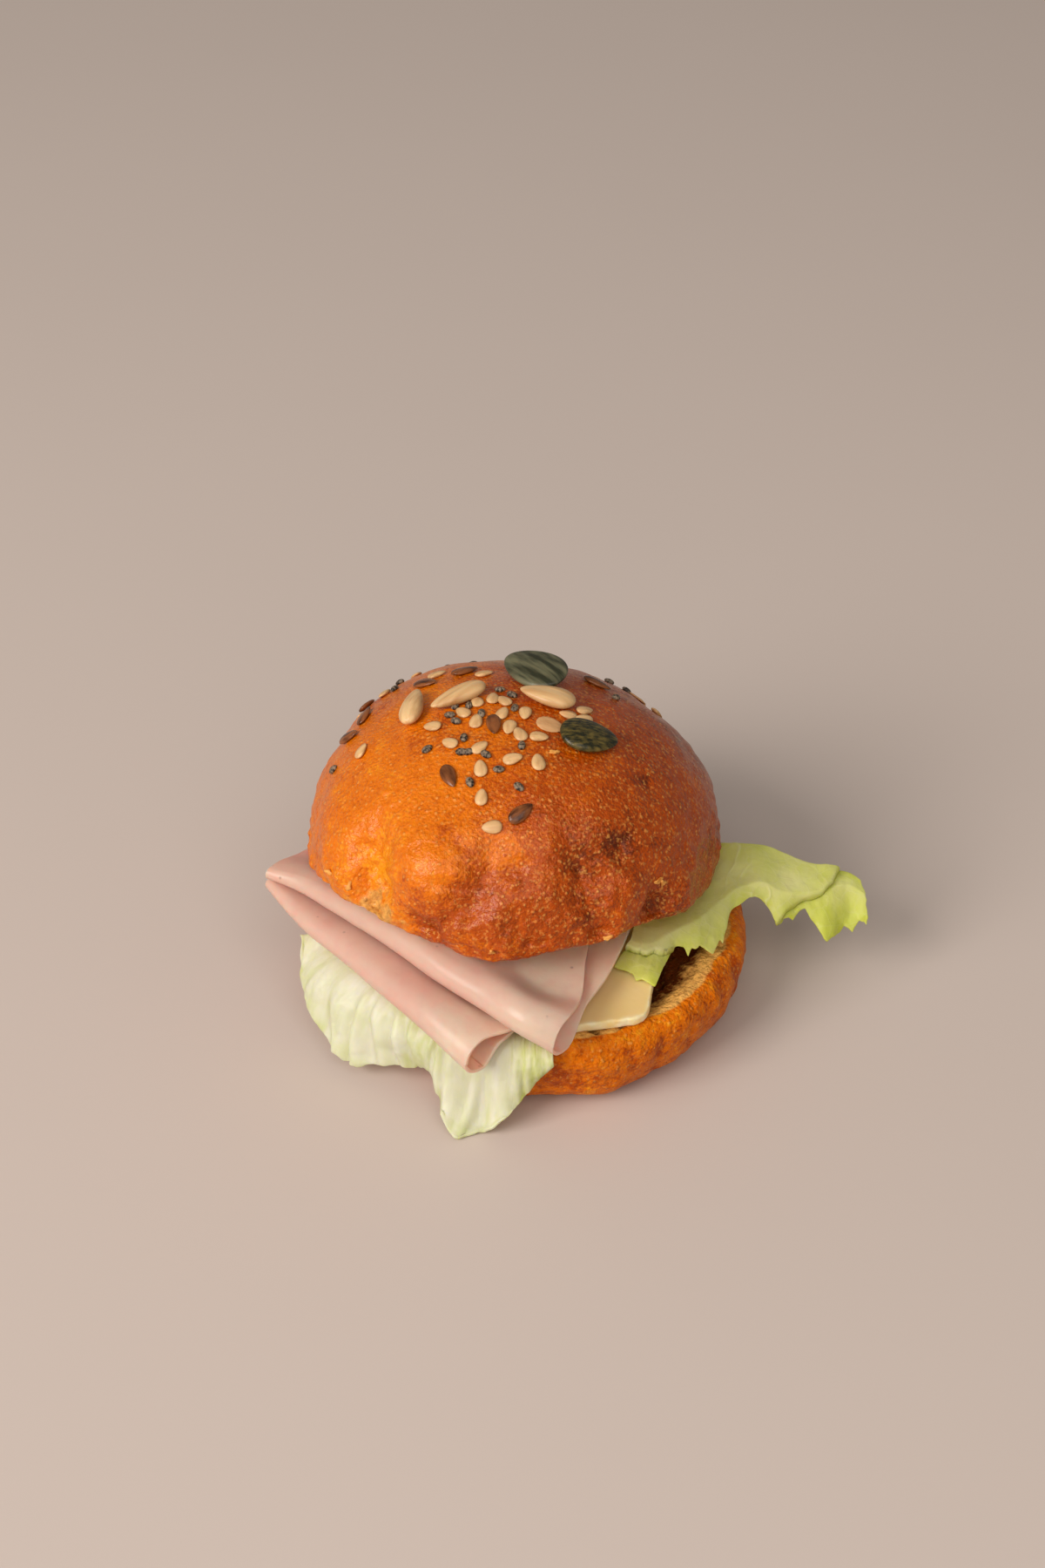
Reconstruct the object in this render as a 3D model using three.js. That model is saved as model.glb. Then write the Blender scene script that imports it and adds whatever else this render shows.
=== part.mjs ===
// Brioche sandwich: a small seeded brioche roll, cut in two and filled with a slice of cheese,
// two folded slices of ham and two kinds of lettuce.
//
// Millimetres, +Z up, +X to the right of the sandwich's front, +Y to its back.
// The origin is the middle of the flat underside of the heel, the roll's lower half.

import * as THREE from 'three';

// ---------------------------------------------------------------------------
// Driving dimensions
// ---------------------------------------------------------------------------

const GAP = 0.3; // air between two pieces that touch

const HEEL = {
  baseRadius: 29, // flat underside
  bellyRadius: 38.3, // widest level
  bellyHeight: 12.2,
  rimRadius: 34.8, // where crust meets crumb
  height: 16.5, // cut face above the table
  dishRadius: 31.5, // the crumb sinks a little inside this radius
  dish: 0.4,
};

const CROWN = {
  centre: [-5.8, 7.5, 29.4], // middle of its widest level: it sits to the left and back of the heel
  lean: 8, // degrees, tipped back by the thick folds of ham in front
  roll: 1.5, // degrees, down to the right
  radius: 38.2,
  rise: 30.6, // from the widest level to the top
  cutRadius: 36.6, // radius of the cut edge
  tuck: 2.2, // from the widest level down to the cut edge
};

// Swellings of the dough: bearing and slope from the pole in degrees, height and spread.
const CROWN_LUMPS = [
  { bearing: -152, slope: 74, swell: 0.9, spread: 13 },
  { bearing: -133, slope: 76, swell: -1.5, spread: 7 },
  { bearing: -114, slope: 67, swell: 1.5, spread: 11 },
  { bearing: -116, slope: 86, swell: -0.9, spread: 6 },
  { bearing: -98, slope: 64, swell: -0.8, spread: 6 },
  { bearing: -95, slope: 90, swell: 1.2, spread: 10 },
  { bearing: -69, slope: 68, swell: -0.8, spread: 7 },
  { bearing: -47, slope: 87, swell: -1.3, spread: 5 },
  { bearing: -38, slope: 91, swell: 0.9, spread: 6 },
  { bearing: -54, slope: 45, swell: 0.5, spread: 16 },
  { bearing: 140, slope: 42, swell: 1.0, spread: 18 },
  { bearing: -6, slope: 64, swell: 0.9, spread: 17 },
  { bearing: 60, slope: 80, swell: 0.8, spread: 14 },
  { bearing: 118, slope: 84, swell: 1.0, spread: 11 },
  { bearing: 92, slope: 85, swell: -0.9, spread: 7 },
];

// How much lower or higher than the plain tuck the cut edge runs, by bearing.
const CUT_EDGE_WAVES = [
  { bearing: -178, drop: 1.9, spread: 17 },
  { bearing: -142, drop: -2.2, spread: 12 },
  { bearing: -96, drop: 1.7, spread: 10 },
  { bearing: -52, drop: -1.6, spread: 11 },
  { bearing: -10, drop: 2.0, spread: 24 },
];

const CHEESE = {
  corners: [[-0.6, -34.8], [18.3, -31.5], [23.4, 2], [-7, 8]], // from front left, a little out of square
  thickness: 1.9,
  cornerRadius: 3.4,
  bevel: 0.25,
};

const HAM = {
  thickness: 1.0,
  plyStep: 1.55, // from the middle of one ply to the next, where they lie pressed together
  foldFront: 1.15, // how far the fold reaches forward, as a share of its half height
  depthStep: 8, // between the entries of the right edges below
};

// Each slice is folded once. Its fold's middle line runs from left to right, with the fold's
// half height at each point. The right edges give how far each ply runs on past the fold's end,
// at every depth step inwards.
const LOWER_SLICE = {
  fold: [
    { at: [-51.4, 1.5, 22.7], half: 0.8 },
    { at: [-43.9, -7.5, 21.4], half: 1.6 },
    { at: [-36.2, -15.0, 21.1], half: 2.1 },
    { at: [-28.2, -24.1, 21.2], half: 2.4 },
    { at: [-19.7, -33.3, 21.0], half: 2.6 },
    { at: [-10.9, -40.9, 19.0], half: 2.9 },
  ],
  depth: 52,
  upperEase: 11, // run over which the upper ply comes off the fold and lies down
  lowerEase: 4,
  upperEdge: [0.3, 1.7, -0.5, -3, -4, -4, -4],
  lowerEdge: [0, 0.4, -1, -3, -4, -4, -4],
};

const UPPER_SLICE = {
  fold: [
    { at: [-51.3, 0.4, 25.9], half: 0.8 },
    { at: [-44.4, -2.8, 25.9], half: 1.4 },
    { at: [-37.6, -8.6, 26.5], half: 1.9 },
    { at: [-30.9, -14.2, 26.8], half: 2.3 },
    { at: [-24.3, -20.3, 26.8], half: 2.5 },
    { at: [-17.4, -26.7, 26.2], half: 2.6 },
    { at: [-10.0, -32.4, 25.6], half: 2.8 },
    { at: [-2.8, -38.4, 25.2], half: 3.05 },
    { at: [3.7, -39.7, 22.4], half: 3.7 },
  ],
  depth: 56,
  upperEase: 8,
  lowerEase: 9,
  upperEdge: [0.4, -2.0, -6.2, -9.5, -11, -11, -11, -11],
  lowerEdge: [0.2, -0.9, -1.1, -1.7, -2, -2, -2, -2],
};

// What the flat plies lie on, and how each of the four takes up the slack under the crown.
const PLY_STACK = {
  overCrumb: 17.95,
  overCheese: 19.05,
  stepDown: [-10, -4], // a ply comes down to the crumb between these places off the cheese's edge
  slackShare: [0, 0.15, 0.4, 1],
  pressed: [0.6, 0.9], // between these shares of the fold's length the plies close up again
};

// The pale leaf, by bearing around the heel: where it starts on the cut face, how far out and how
// low its edge hangs, and how closely it hugs the heel's side (0 hangs free, 1 follows the crust).
const FRONT_LEAF = {
  thickness: 0.8,
  innerHeight: 17.25,
  rimRadius: 35,
  shoulder: [40.8, 17.5], // the point that its turn down over the rim is drawn towards
  innerShare: 0.25, // share of the leaf that lies inside the rim
  leastInside: 0.3, // least width that lies inside the rim
  drapeInset: 1.5, // how far inside its edge a leaf that hangs free is drawn down
  drapeHeight: 0.75, // and from how high, as a share of the shoulder's height
  hugRise: 1, // how far over its edge a leaf that hugs the crust is drawn in
  stations: [
    { bearing: -172, inner: 26, reach: 46.2, low: 16.4, hug: 0.0 },
    { bearing: -166, inner: 26, reach: 46.5, low: 10.5, hug: 0.0 },
    { bearing: -160, inner: 26, reach: 47.0, low: 7.2, hug: 0.0 },
    { bearing: -153, inner: 26, reach: 46.0, low: 4.2, hug: 0.0 },
    { bearing: -146.5, inner: 26, reach: 44.7, low: 2.9, hug: 0.0 },
    { bearing: -141.5, inner: 26, reach: 44.0, low: 2.4, hug: 0.0 },
    { bearing: -135, inner: 26, reach: 41.4, low: 4.8, hug: 0.1 },
    { bearing: -127, inner: 26.5, reach: 39.9, low: 6.4, hug: 0.1 },
    { bearing: -121, inner: 29, reach: 39.5, low: 7.4, hug: 0.2 },
    { bearing: -117.5, inner: 31, reach: 41.4, low: 4.2, hug: 0.5 },
    { bearing: -111, inner: 32, reach: 47.6, low: 1.3, hug: 0.9 },
    { bearing: -105, inner: 33, reach: 46.0, low: 1.2, hug: 0.95 },
    { bearing: -99.5, inner: 34.5, reach: 43.2, low: 3.9, hug: 0.8 },
    { bearing: -95.5, inner: 36, reach: 40.7, low: 7.4, hug: 0.4 },
    { bearing: -91.5, inner: 37.2, reach: 39.6, low: 11.5, hug: 0.1 },
    { bearing: -88, inner: 37.6, reach: 39.3, low: 14.8, hug: 0.0 },
  ],
};

// The green leaf, from under the crown out to the right: its hanging front edge, the ridge where
// it turns over, and its back edge.
const SIDE_LEAF = {
  thickness: 0.8,
  ridgeShare: 0.35, // share of the leaf's width that hangs in front of the ridge
  ruffle: 0.6, // height of the waves along its front edge
  ruffleLength: 8.5,
  edge: [
    [12.6, -19.4, 20.2], [16.0, -21.6, 19.8], [19.8, -22.6, 19.8], [23.8, -15.2, 20.4],
    [28.4, -14.2, 19.8], [32.6, -11.6, 19.2], [34.8, -5.0, 21.4], [39.6, -3.2, 22.2],
    [43.4, -4.8, 19.6], [48.4, -2.6, 18.8], [52.6, -4.8, 15.2], [57.2, -2.4, 14.4],
    [61.2, -0.4, 15.8],
  ],
  ridge: [
    [15.7, -14.8, 22.2], [17.8, -15.9, 22.3], [20.0, -15.2, 22.4], [24.0, -12.4, 22.6],
    [28.2, -9.8, 22.8], [32.4, -5.2, 23.2], [36.4, -2.0, 24.2], [40.4, -1.0, 24.4],
    [44.6, -1.6, 22.8], [48.8, -0.8, 22.2], [53.0, 0.6, 21.8], [57.2, 3.0, 20.6],
    [60.8, 2.2, 18.8],
  ],
  back: [
    [21.5, 16.0, 20.0], [23.0, 25.0, 19.6], [24.5, 26.0, 19.4], [29.0, 21.0, 19.8],
    [31.6, 15.4, 21.6], [34.0, 11.4, 24.0], [38.0, 9.8, 25.0], [42.0, 9.2, 24.9],
    [46.0, 7.7, 24.4], [50.2, 6.0, 23.7], [54.0, 6.0, 23.0], [57.6, 6.0, 21.2],
    [60.4, 4.4, 20.0],
  ],
};

// Large seeds: half length, half width and half thickness, how much they narrow to the tip,
// their place on the crown, the bearing that their tip points to and how far they lean over.
const LARGE_SEEDS = [
  {
    name: 'pumpkin_seed_1', half: [6.8, 4.5, 1.2], taper: 0.2, colour: 0x77775c,
    bearing: 56, slope: 8, lift: 1.1, tip: 139, lean: -24,
  },
  {
    name: 'pumpkin_seed_2', half: [5.4, 3.9, 1.3], taper: 0.24, colour: 0x4a4a30,
    bearing: -46, slope: 28, lift: 0, tip: 4, lean: 0,
  },
  {
    name: 'sunflower_kernel_1', half: [5.0, 2.2, 1.4], taper: 0.3, colour: 0xcb9d66,
    bearing: -171, slope: 29, lift: 0, tip: 78, lean: 0,
  },
  {
    name: 'sunflower_kernel_2', half: [5.5, 2.2, 1.4], taper: 0.3, colour: 0xc79a63,
    bearing: -163, slope: 16.5, lift: 0, tip: 205, lean: 0,
  },
  {
    name: 'sunflower_kernel_3', half: [5.2, 2.6, 1.4], taper: 0.35, colour: 0xcfa472,
    bearing: -36, slope: 10, lift: 0, tip: 166, lean: 0,
  },
];

// How finely each piece is divided.
const FINENESS = {
  crown: [56, 20],
  heel: [52, 13],
  ham: [14, 24],
  frontLeaf: [30, 9],
  sideLeaf: [30, 7],
  seed: [14, 8],
};

// ---------------------------------------------------------------------------
// Small mathematics
// ---------------------------------------------------------------------------

const { degToRad, lerp, smoothstep } = THREE.MathUtils;
const QUARTER_TURN = Math.PI / 2;

const bell = (distance, spread) => Math.exp(-0.5 * (distance / spread) ** 2);

// A number between the entries of a list, on a smooth curve through them all.
function between(values, share) {
  const place = share * (values.length - 1);
  const start = Math.min(Math.floor(place), values.length - 2);
  const entry = (i) => values[Math.min(Math.max(start + i, 0), values.length - 1)];
  const [before, from, to, after] = [entry(-1), entry(0), entry(1), entry(2)];
  const t = place - start;
  const bend = 2 * before - 5 * from + 4 * to - after;
  const twist = 3 * (from - to) + after - before;
  return from + 0.5 * t * (to - before + t * (bend + t * twist));
}

// The same for a list of records, one number for each of their keys.
function betweenRecords(records, share) {
  const keys = Object.keys(records[0]);
  return Object.fromEntries(keys.map((key) => {
    const values = records.map((record) => record[key]);
    return [key, Array.isArray(values[0]) ? betweenPoints(values, share) : between(values, share)];
  }));
}

const betweenPoints = (points, share) => points[0].map(
  (_, axis) => between(points.map((point) => point[axis]), share),
);

// Distance in degrees between two directions given by bearing and slope from the pole.
function angleBetween(first, second) {
  const direction = ({ bearing, slope }) => new THREE.Vector3().setFromSphericalCoords(
    1, degToRad(slope), degToRad(bearing),
  );
  return THREE.MathUtils.radToDeg(direction(first).angleTo(direction(second)));
}

const bearingGap = (first, second) => Math.abs(((first - second + 540) % 360) - 180);

// ---------------------------------------------------------------------------
// Closed bodies from formulas
// ---------------------------------------------------------------------------

// Turns a closed mesh so that its faces point outwards.
function closedBody(points, triangles) {
  const [a, b, c] = [new THREE.Vector3(), new THREE.Vector3(), new THREE.Vector3()];
  const volume = triangles.reduce((sum, [i, j, k]) => (
    sum + a.copy(points[i]).dot(b.copy(points[j]).cross(c.copy(points[k])))
  ), 0);
  const facing = volume > 0 ? triangles : triangles.map(([i, j, k]) => [i, k, j]);
  const geometry = new THREE.BufferGeometry().setFromPoints(points);
  geometry.setIndex(facing.flat());
  geometry.computeVertexNormals();
  return geometry;
}

// A body of rings around an axis: pointAt(bearing, t) runs from one pole, t = 0, to the other.
function ringBody(pointAt, [segments, rings]) {
  const points = [pointAt(0, 0)];
  for (let ring = 1; ring < rings; ring += 1) {
    for (let segment = 0; segment < segments; segment += 1) {
      points.push(pointAt((360 * segment) / segments, ring / rings));
    }
  }
  points.push(pointAt(0, 1));
  const last = points.length - 1;
  const index = (ring, segment) => 1 + (ring - 1) * segments + (segment % segments);
  const triangles = [];
  for (let segment = 0; segment < segments; segment += 1) {
    triangles.push([0, index(1, segment), index(1, segment + 1)]);
    for (let ring = 1; ring < rings - 1; ring += 1) {
      const [a, b] = [index(ring, segment), index(ring, segment + 1)];
      const [c, d] = [index(ring + 1, segment), index(ring + 1, segment + 1)];
      triangles.push([a, c, b], [b, c, d]);
    }
    triangles.push([last, index(rings - 1, segment + 1), index(rings - 1, segment)]);
  }
  return closedBody(points, triangles);
}

// A body of even thickness on both sides of the sheet pointAt(u, v), with walls round its edge.
function sheetBody(pointAt, thickness, [columns, rows]) {
  const step = 1e-3;
  const tangent = (at, value) => {
    const [low, high] = [Math.max(value - step, 0), Math.min(value + step, 1)];
    return at(high).sub(at(low));
  };
  const normalAt = (u, v) => tangent((t) => pointAt(t, v), u)
    .cross(tangent((t) => pointAt(u, t), v)).normalize();
  const points = [];
  for (const side of [0.5, -0.5]) {
    for (let row = 0; row <= rows; row += 1) {
      for (let column = 0; column <= columns; column += 1) {
        const [u, v] = [column / columns, row / rows];
        points.push(pointAt(u, v).addScaledVector(normalAt(u, v), side * thickness));
      }
    }
  }
  const layer = (columns + 1) * (rows + 1);
  const index = (column, row, side) => side * layer + row * (columns + 1) + column;
  const triangles = [];
  const quad = (a, b, c, d) => triangles.push([a, b, c], [a, c, d]);
  for (let row = 0; row < rows; row += 1) {
    for (let column = 0; column < columns; column += 1) {
      const corners = [[column, row], [column + 1, row], [column + 1, row + 1], [column, row + 1]];
      quad(...corners.map(([x, y]) => index(x, y, 0)));
      quad(...corners.reverse().map(([x, y]) => index(x, y, 1)));
    }
  }
  const wall = (from, to) => quad(index(...from, 0), index(...from, 1), index(...to, 1), index(...to, 0));
  for (let column = 0; column < columns; column += 1) {
    wall([column, 0], [column + 1, 0]);
    wall([column + 1, rows], [column, rows]);
  }
  for (let row = 0; row < rows; row += 1) {
    wall([columns, row], [columns, row + 1]);
    wall([0, row + 1], [0, row]);
  }
  return closedBody(points, triangles);
}

// ---------------------------------------------------------------------------
// The roll
// ---------------------------------------------------------------------------

// Heel: up the axis of the flat base, out to the belly, in to the rim and back over the crumb.
const HEEL_SHARES = { base: 0.16, belly: 0.46, rim: 0.76 };

function heelPoint(bearing, t) {
  const { base, belly, rim } = HEEL_SHARES;
  const turn = degToRad(bearing);
  let radius;
  let height;
  if (t <= base) {
    radius = (HEEL.baseRadius * t) / base;
    height = 0;
  } else if (t <= belly) {
    const angle = (QUARTER_TURN * (t - base)) / (belly - base);
    radius = HEEL.baseRadius + (HEEL.bellyRadius - HEEL.baseRadius) * Math.sin(angle);
    height = HEEL.bellyHeight * (1 - Math.cos(angle));
  } else if (t <= rim) {
    const angle = (QUARTER_TURN * (t - belly)) / (rim - belly);
    radius = HEEL.bellyRadius - (HEEL.bellyRadius - HEEL.rimRadius) * (1 - Math.cos(angle));
    height = HEEL.bellyHeight + (HEEL.height - HEEL.bellyHeight) * Math.sin(angle);
  } else {
    radius = (HEEL.rimRadius * (1 - t)) / (1 - rim);
    height = HEEL.height - HEEL.dish * (1 - smoothstep(radius, HEEL.dishRadius, HEEL.rimRadius));
  }
  return new THREE.Vector3(radius * Math.cos(turn), radius * Math.sin(turn), height);
}

// Crown, in its own frame: the dome from its pole to the widest level, the tuck under it to
// the cut edge, and the flat cut face.
const CROWN_SHARES = { dome: 0.66, edge: 0.78 };

const crownLump = (bearing, slope) => CROWN_LUMPS.reduce((sum, lump) => (
  sum + lump.swell * bell(angleBetween({ bearing, slope }, lump), lump.spread)
), 0);

const cutEdgeDrop = (bearing) => CUT_EDGE_WAVES.reduce((sum, wave) => (
  sum + wave.drop * bell(bearingGap(bearing, wave.bearing), wave.spread)
), CROWN.tuck);

function crownDomePoint(bearing, slope) {
  const [turn, lean] = [degToRad(bearing), degToRad(slope)];
  const outward = new THREE.Vector3(
    Math.sin(lean) * Math.cos(turn), Math.sin(lean) * Math.sin(turn), Math.cos(lean),
  );
  const point = outward.clone().multiply(new THREE.Vector3(CROWN.radius, CROWN.radius, CROWN.rise));
  return point.addScaledVector(outward, crownLump(bearing, slope));
}

function crownPoint(bearing, t) {
  const { dome, edge } = CROWN_SHARES;
  if (t <= dome) {
    return crownDomePoint(bearing, (90 * t) / dome);
  }
  const widest = crownDomePoint(bearing, 90);
  const bulge = Math.hypot(widest.x, widest.y);
  const cut = CROWN.cutRadius + 0.5 * (bulge - CROWN.radius);
  const drop = cutEdgeDrop(bearing);
  const angle = QUARTER_TURN * Math.min((t - dome) / (edge - dome), 1);
  const edgeRadius = cut + (bulge - cut) * Math.cos(angle);
  const inward = t <= edge ? 1 : (1 - t) / (1 - edge);
  const turn = degToRad(bearing);
  return new THREE.Vector3(
    edgeRadius * inward * Math.cos(turn),
    edgeRadius * inward * Math.sin(turn),
    -lerp(CROWN.tuck, drop, inward ** 3) * Math.sin(angle),
  );
}

// The crown's frame on the sandwich, which also carries the large seeds.
const crownFrame = new THREE.Group();
crownFrame.position.set(...CROWN.centre);
crownFrame.rotation.set(-degToRad(CROWN.lean), degToRad(CROWN.roll), 0);
crownFrame.updateMatrixWorld();

// Height of the crown's cut face over a place on the table: its plane, less the waves of its edge.
const cutFaceNormal = new THREE.Vector3(0, 0, 1).applyQuaternion(crownFrame.quaternion);
const cutFacePlane = new THREE.Plane().setFromNormalAndCoplanarPoint(
  cutFaceNormal, new THREE.Vector3(0, 0, -CROWN.tuck).applyMatrix4(crownFrame.matrixWorld),
);

function ceiling(x, y) {
  const plane = -(cutFacePlane.constant + cutFaceNormal.x * x + cutFaceNormal.y * y) / cutFaceNormal.z;
  const [across, back] = [x - CROWN.centre[0], y - CROWN.centre[1]];
  const inward = Math.min(Math.hypot(across, back) / CROWN.cutRadius, 1);
  const bearing = THREE.MathUtils.radToDeg(Math.atan2(back, across));
  return plane - (cutEdgeDrop(bearing) - CROWN.tuck) * inward ** 3;
}

// ---------------------------------------------------------------------------
// The filling
// ---------------------------------------------------------------------------

function cheeseGeometry() {
  const { bevel, cornerRadius } = CHEESE;
  const corners = CHEESE.corners.map((corner) => new THREE.Vector2(...corner));
  const outline = new THREE.Shape();
  corners.forEach((corner, i) => {
    const [before, after] = [corners.at(i - 1), corners[(i + 1) % corners.length]];
    const towards = (other) => corner.clone().add(
      other.clone().sub(corner).setLength(cornerRadius),
    );
    const [start, end] = [towards(before), towards(after)];
    outline[i === 0 ? 'moveTo' : 'lineTo'](start.x, start.y);
    outline.quadraticCurveTo(corner.x, corner.y, end.x, end.y);
  });
  return new THREE.ExtrudeGeometry(outline, {
    depth: CHEESE.thickness - 2 * bevel,
    bevelThickness: bevel,
    bevelSize: bevel,
    bevelOffset: -bevel,
    bevelSegments: 1,
    curveSegments: 6,
  });
}

// How far a place lies to the left of the line from one corner to another.
function leftOf(x, y, [fromX, fromY], [toX, toY]) {
  const [alongX, alongY] = [toX - fromX, toY - fromY];
  return (alongX * (y - fromY) - alongY * (x - fromX)) / Math.hypot(alongX, alongY);
}

// Middle height of a flat ply, counted up from what the lowest one lies on.
function plyHeight(ply, x, y, alongFold) {
  const { overCrumb, overCheese, stepDown, slackShare } = PLY_STACK;
  const [frontLeft, , backRight, backLeft] = CHEESE.corners;
  const overLeftEdge = smoothstep(leftOf(x, y, backLeft, frontLeft), ...stepDown);
  const overBackEdge = smoothstep(leftOf(x, y, backRight, backLeft), ...stepDown);
  const floor = lerp(overCrumb, overCheese, overLeftEdge * overBackEdge);
  const closed = floor + 0.5 * HAM.thickness + HAM.plyStep * ply;
  const stackTop = floor + HAM.thickness + HAM.plyStep * (slackShare.length - 1);
  const slack = Math.max(ceiling(x, y) - 3 * GAP - stackTop, 0);
  const loose = 1 - smoothstep(alongFold, ...PLY_STACK.pressed);
  return closed + slack * slackShare[ply] * loose;
}

// A folded slice. u runs along the fold, v from the upper ply's back edge round the fold to the
// lower ply's back edge: flat rows, a half ellipse, flat rows.
function foldedSlice(slice, firstPly) {
  const [start, end] = [slice.fold[0].at, slice.fold.at(-1).at];
  const along = new THREE.Vector2(end[0] - start[0], end[1] - start[1]);
  const length = along.length();
  along.normalize();
  const inward = new THREE.Vector2(-along.y, along.x);
  const middle = betweenRecords(slice.fold, 0.5).at;
  const flatShare = 0.38; // of v, for each ply
  const backEdge = 0.97; // share of the depth at which the round back edge is cut off
  const crowding = 1.4; // how much closer together the flat rows lie towards the fold
  return (u, v) => {
    const upper = v <= 0.5;
    const share = upper ? v : 1 - v;
    const { at: foldAt, half } = betweenRecords(slice.fold, u);
    const angle = (QUARTER_TURN * Math.max(share - flatShare, 0)) / (0.5 - flatShare);
    const flat = Math.max(1 - share / flatShare, 0);
    const inside = slice.depth * backEdge * flat ** crowding - half * HAM.foldFront * Math.sin(angle);
    const depth = Math.max(inside, 0);
    const narrowing = Math.sqrt(1 - (depth / slice.depth) ** 2);
    const edges = upper ? slice.upperEdge : slice.lowerEdge;
    const edgeShare = depth / (HAM.depthStep * (edges.length - 1));
    const past = between(edges, Math.min(edgeShare, 1)) * u ** 3 * narrowing ** 2;
    const x = lerp(middle[0], foldAt[0], narrowing) + inward.x * inside + along.x * past;
    const y = lerp(middle[1], foldAt[1], narrowing) + inward.y * inside + along.y * past;
    const loop = foldAt[2] + (upper ? half : -half) * Math.cos(angle);
    const settled = smoothstep(depth, 0, upper ? slice.upperEase : slice.lowerEase);
    const alongFold = (along.x * (x - start[0]) + along.y * (y - start[1])) / length;
    const lying = plyHeight(upper ? firstPly + 1 : firstPly, x, y, alongFold);
    return new THREE.Vector3(x, y, lerp(loop, lying, settled));
  };
}

// The pale leaf: in from under the ham, over the rim and down the front and left of the heel.
function frontLeafPoint(u, v) {
  const { bearing, inner, reach, low, hug } = betweenRecords(FRONT_LEAF.stations, u);
  const { innerShare, innerHeight, shoulder } = FRONT_LEAF;
  const rimRadius = Math.max(FRONT_LEAF.rimRadius, inner + FRONT_LEAF.leastInside);
  const turn = degToRad(bearing);
  let radius;
  let height;
  if (v <= innerShare) {
    radius = lerp(inner, rimRadius, v / innerShare);
    height = innerHeight;
  } else {
    const t = (v - innerShare) / (1 - innerShare);
    const freeRadius = Math.max(reach - FRONT_LEAF.drapeInset, shoulder[0]);
    const freeHeight = Math.max(low, FRONT_LEAF.drapeHeight * shoulder[1]);
    const bendRadius = lerp(freeRadius, shoulder[0], hug);
    const bendHeight = lerp(freeHeight, low + FRONT_LEAF.hugRise, hug);
    radius = bezier([rimRadius, shoulder[0], bendRadius, reach], t);
    height = bezier([innerHeight, shoulder[1], bendHeight, low], t);
  }
  return new THREE.Vector3(radius * Math.cos(turn), radius * Math.sin(turn), height);
}

const bezier = ([a, b, c, d], t) => (
  a * (1 - t) ** 3 + 3 * b * t * (1 - t) ** 2 + 3 * c * t ** 2 * (1 - t) + d * t ** 3
);

// The green leaf: from under the crown out to the right, its front edge turned down.
function sideLeafPoint(u, v) {
  const { ridgeShare, ruffle, ruffleLength } = SIDE_LEAF;
  const [edge, ridge, back] = [SIDE_LEAF.edge, SIDE_LEAF.ridge, SIDE_LEAF.back].map(
    (line) => new THREE.Vector3(...betweenPoints(line, u)),
  );
  const nearEdge = Math.max(1 - v / ridgeShare, 0);
  const point = v < ridgeShare
    ? edge.lerp(ridge, v / ridgeShare)
    : ridge.lerp(back, (v - ridgeShare) / (1 - ridgeShare));
  point.y -= ruffle * nearEdge * Math.sin((2 * Math.PI * point.x) / ruffleLength);
  return point;
}

// ---------------------------------------------------------------------------
// Large seeds
// ---------------------------------------------------------------------------

// A flat drop shape, its tip at +X.
function seedPoint({ half: [length, width, thickness], taper }) {
  return (bearing, t) => {
    const [turn, along] = [degToRad(bearing), Math.cos(Math.PI * t)];
    const girth = Math.sin(Math.PI * t) * (1 - taper * along);
    return new THREE.Vector3(
      length * along, width * girth * Math.cos(turn), thickness * girth * Math.sin(turn),
    );
  };
}

// Lays a seed on the crown, flat side down, with its tip turned to a bearing.
function laySeed(mesh, { bearing, slope, lift, tip, half, lean }) {
  const nudge = 0.5;
  const here = crownDomePoint(bearing, slope);
  const down = crownDomePoint(bearing, slope + nudge).sub(here);
  const across = crownDomePoint(bearing + nudge, slope).sub(here);
  const normal = down.cross(across).normalize();
  const heading = new THREE.Vector3(Math.cos(degToRad(tip)), Math.sin(degToRad(tip)), 0);
  const ahead = heading.projectOnPlane(normal).normalize();
  const aside = normal.clone().cross(ahead);
  mesh.quaternion.setFromRotationMatrix(new THREE.Matrix4().makeBasis(ahead, aside, normal));
  mesh.rotateX(degToRad(lean));
  mesh.position.copy(here).addScaledVector(normal, half[2] + GAP + lift);
}

// ---------------------------------------------------------------------------
// The sandwich
// ---------------------------------------------------------------------------

function piece(name, geometry, colour, roughness) {
  const material = new THREE.MeshStandardMaterial({ color: colour, roughness, metalness: 0 });
  const mesh = new THREE.Mesh(geometry, material);
  mesh.name = name;
  return mesh;
}

const heel = piece('bun_heel', ringBody(heelPoint, FINENESS.heel), 0xb5702f, 0.6);
const crown = piece('bun_crown', ringBody(crownPoint, FINENESS.crown), 0xb4601f, 0.4);

const cheese = piece('cheese_slice', cheeseGeometry(), 0xe3cd8e, 0.45);
cheese.position.z = HEEL.height + GAP + CHEESE.bevel;

const lowerHam = piece(
  'ham_slice_lower', sheetBody(foldedSlice(LOWER_SLICE, 0), HAM.thickness, FINENESS.ham), 0xe2ac98, 0.5,
);
const upperHam = piece(
  'ham_slice_upper', sheetBody(foldedSlice(UPPER_SLICE, 2), HAM.thickness, FINENESS.ham), 0xdfa79c, 0.5,
);

const frontLeaf = piece(
  'lettuce_front', sheetBody(frontLeafPoint, FRONT_LEAF.thickness, FINENESS.frontLeaf), 0xe4e6bd, 0.5,
);
const sideLeaf = piece(
  'lettuce_side', sheetBody(sideLeafPoint, SIDE_LEAF.thickness, FINENESS.sideLeaf), 0xbfcb6c, 0.45,
);

crownFrame.add(crown);
for (const seed of LARGE_SEEDS) {
  const mesh = piece(seed.name, ringBody(seedPoint(seed), FINENESS.seed), seed.colour, 0.45);
  laySeed(mesh, seed);
  crownFrame.add(mesh);
}

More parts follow.
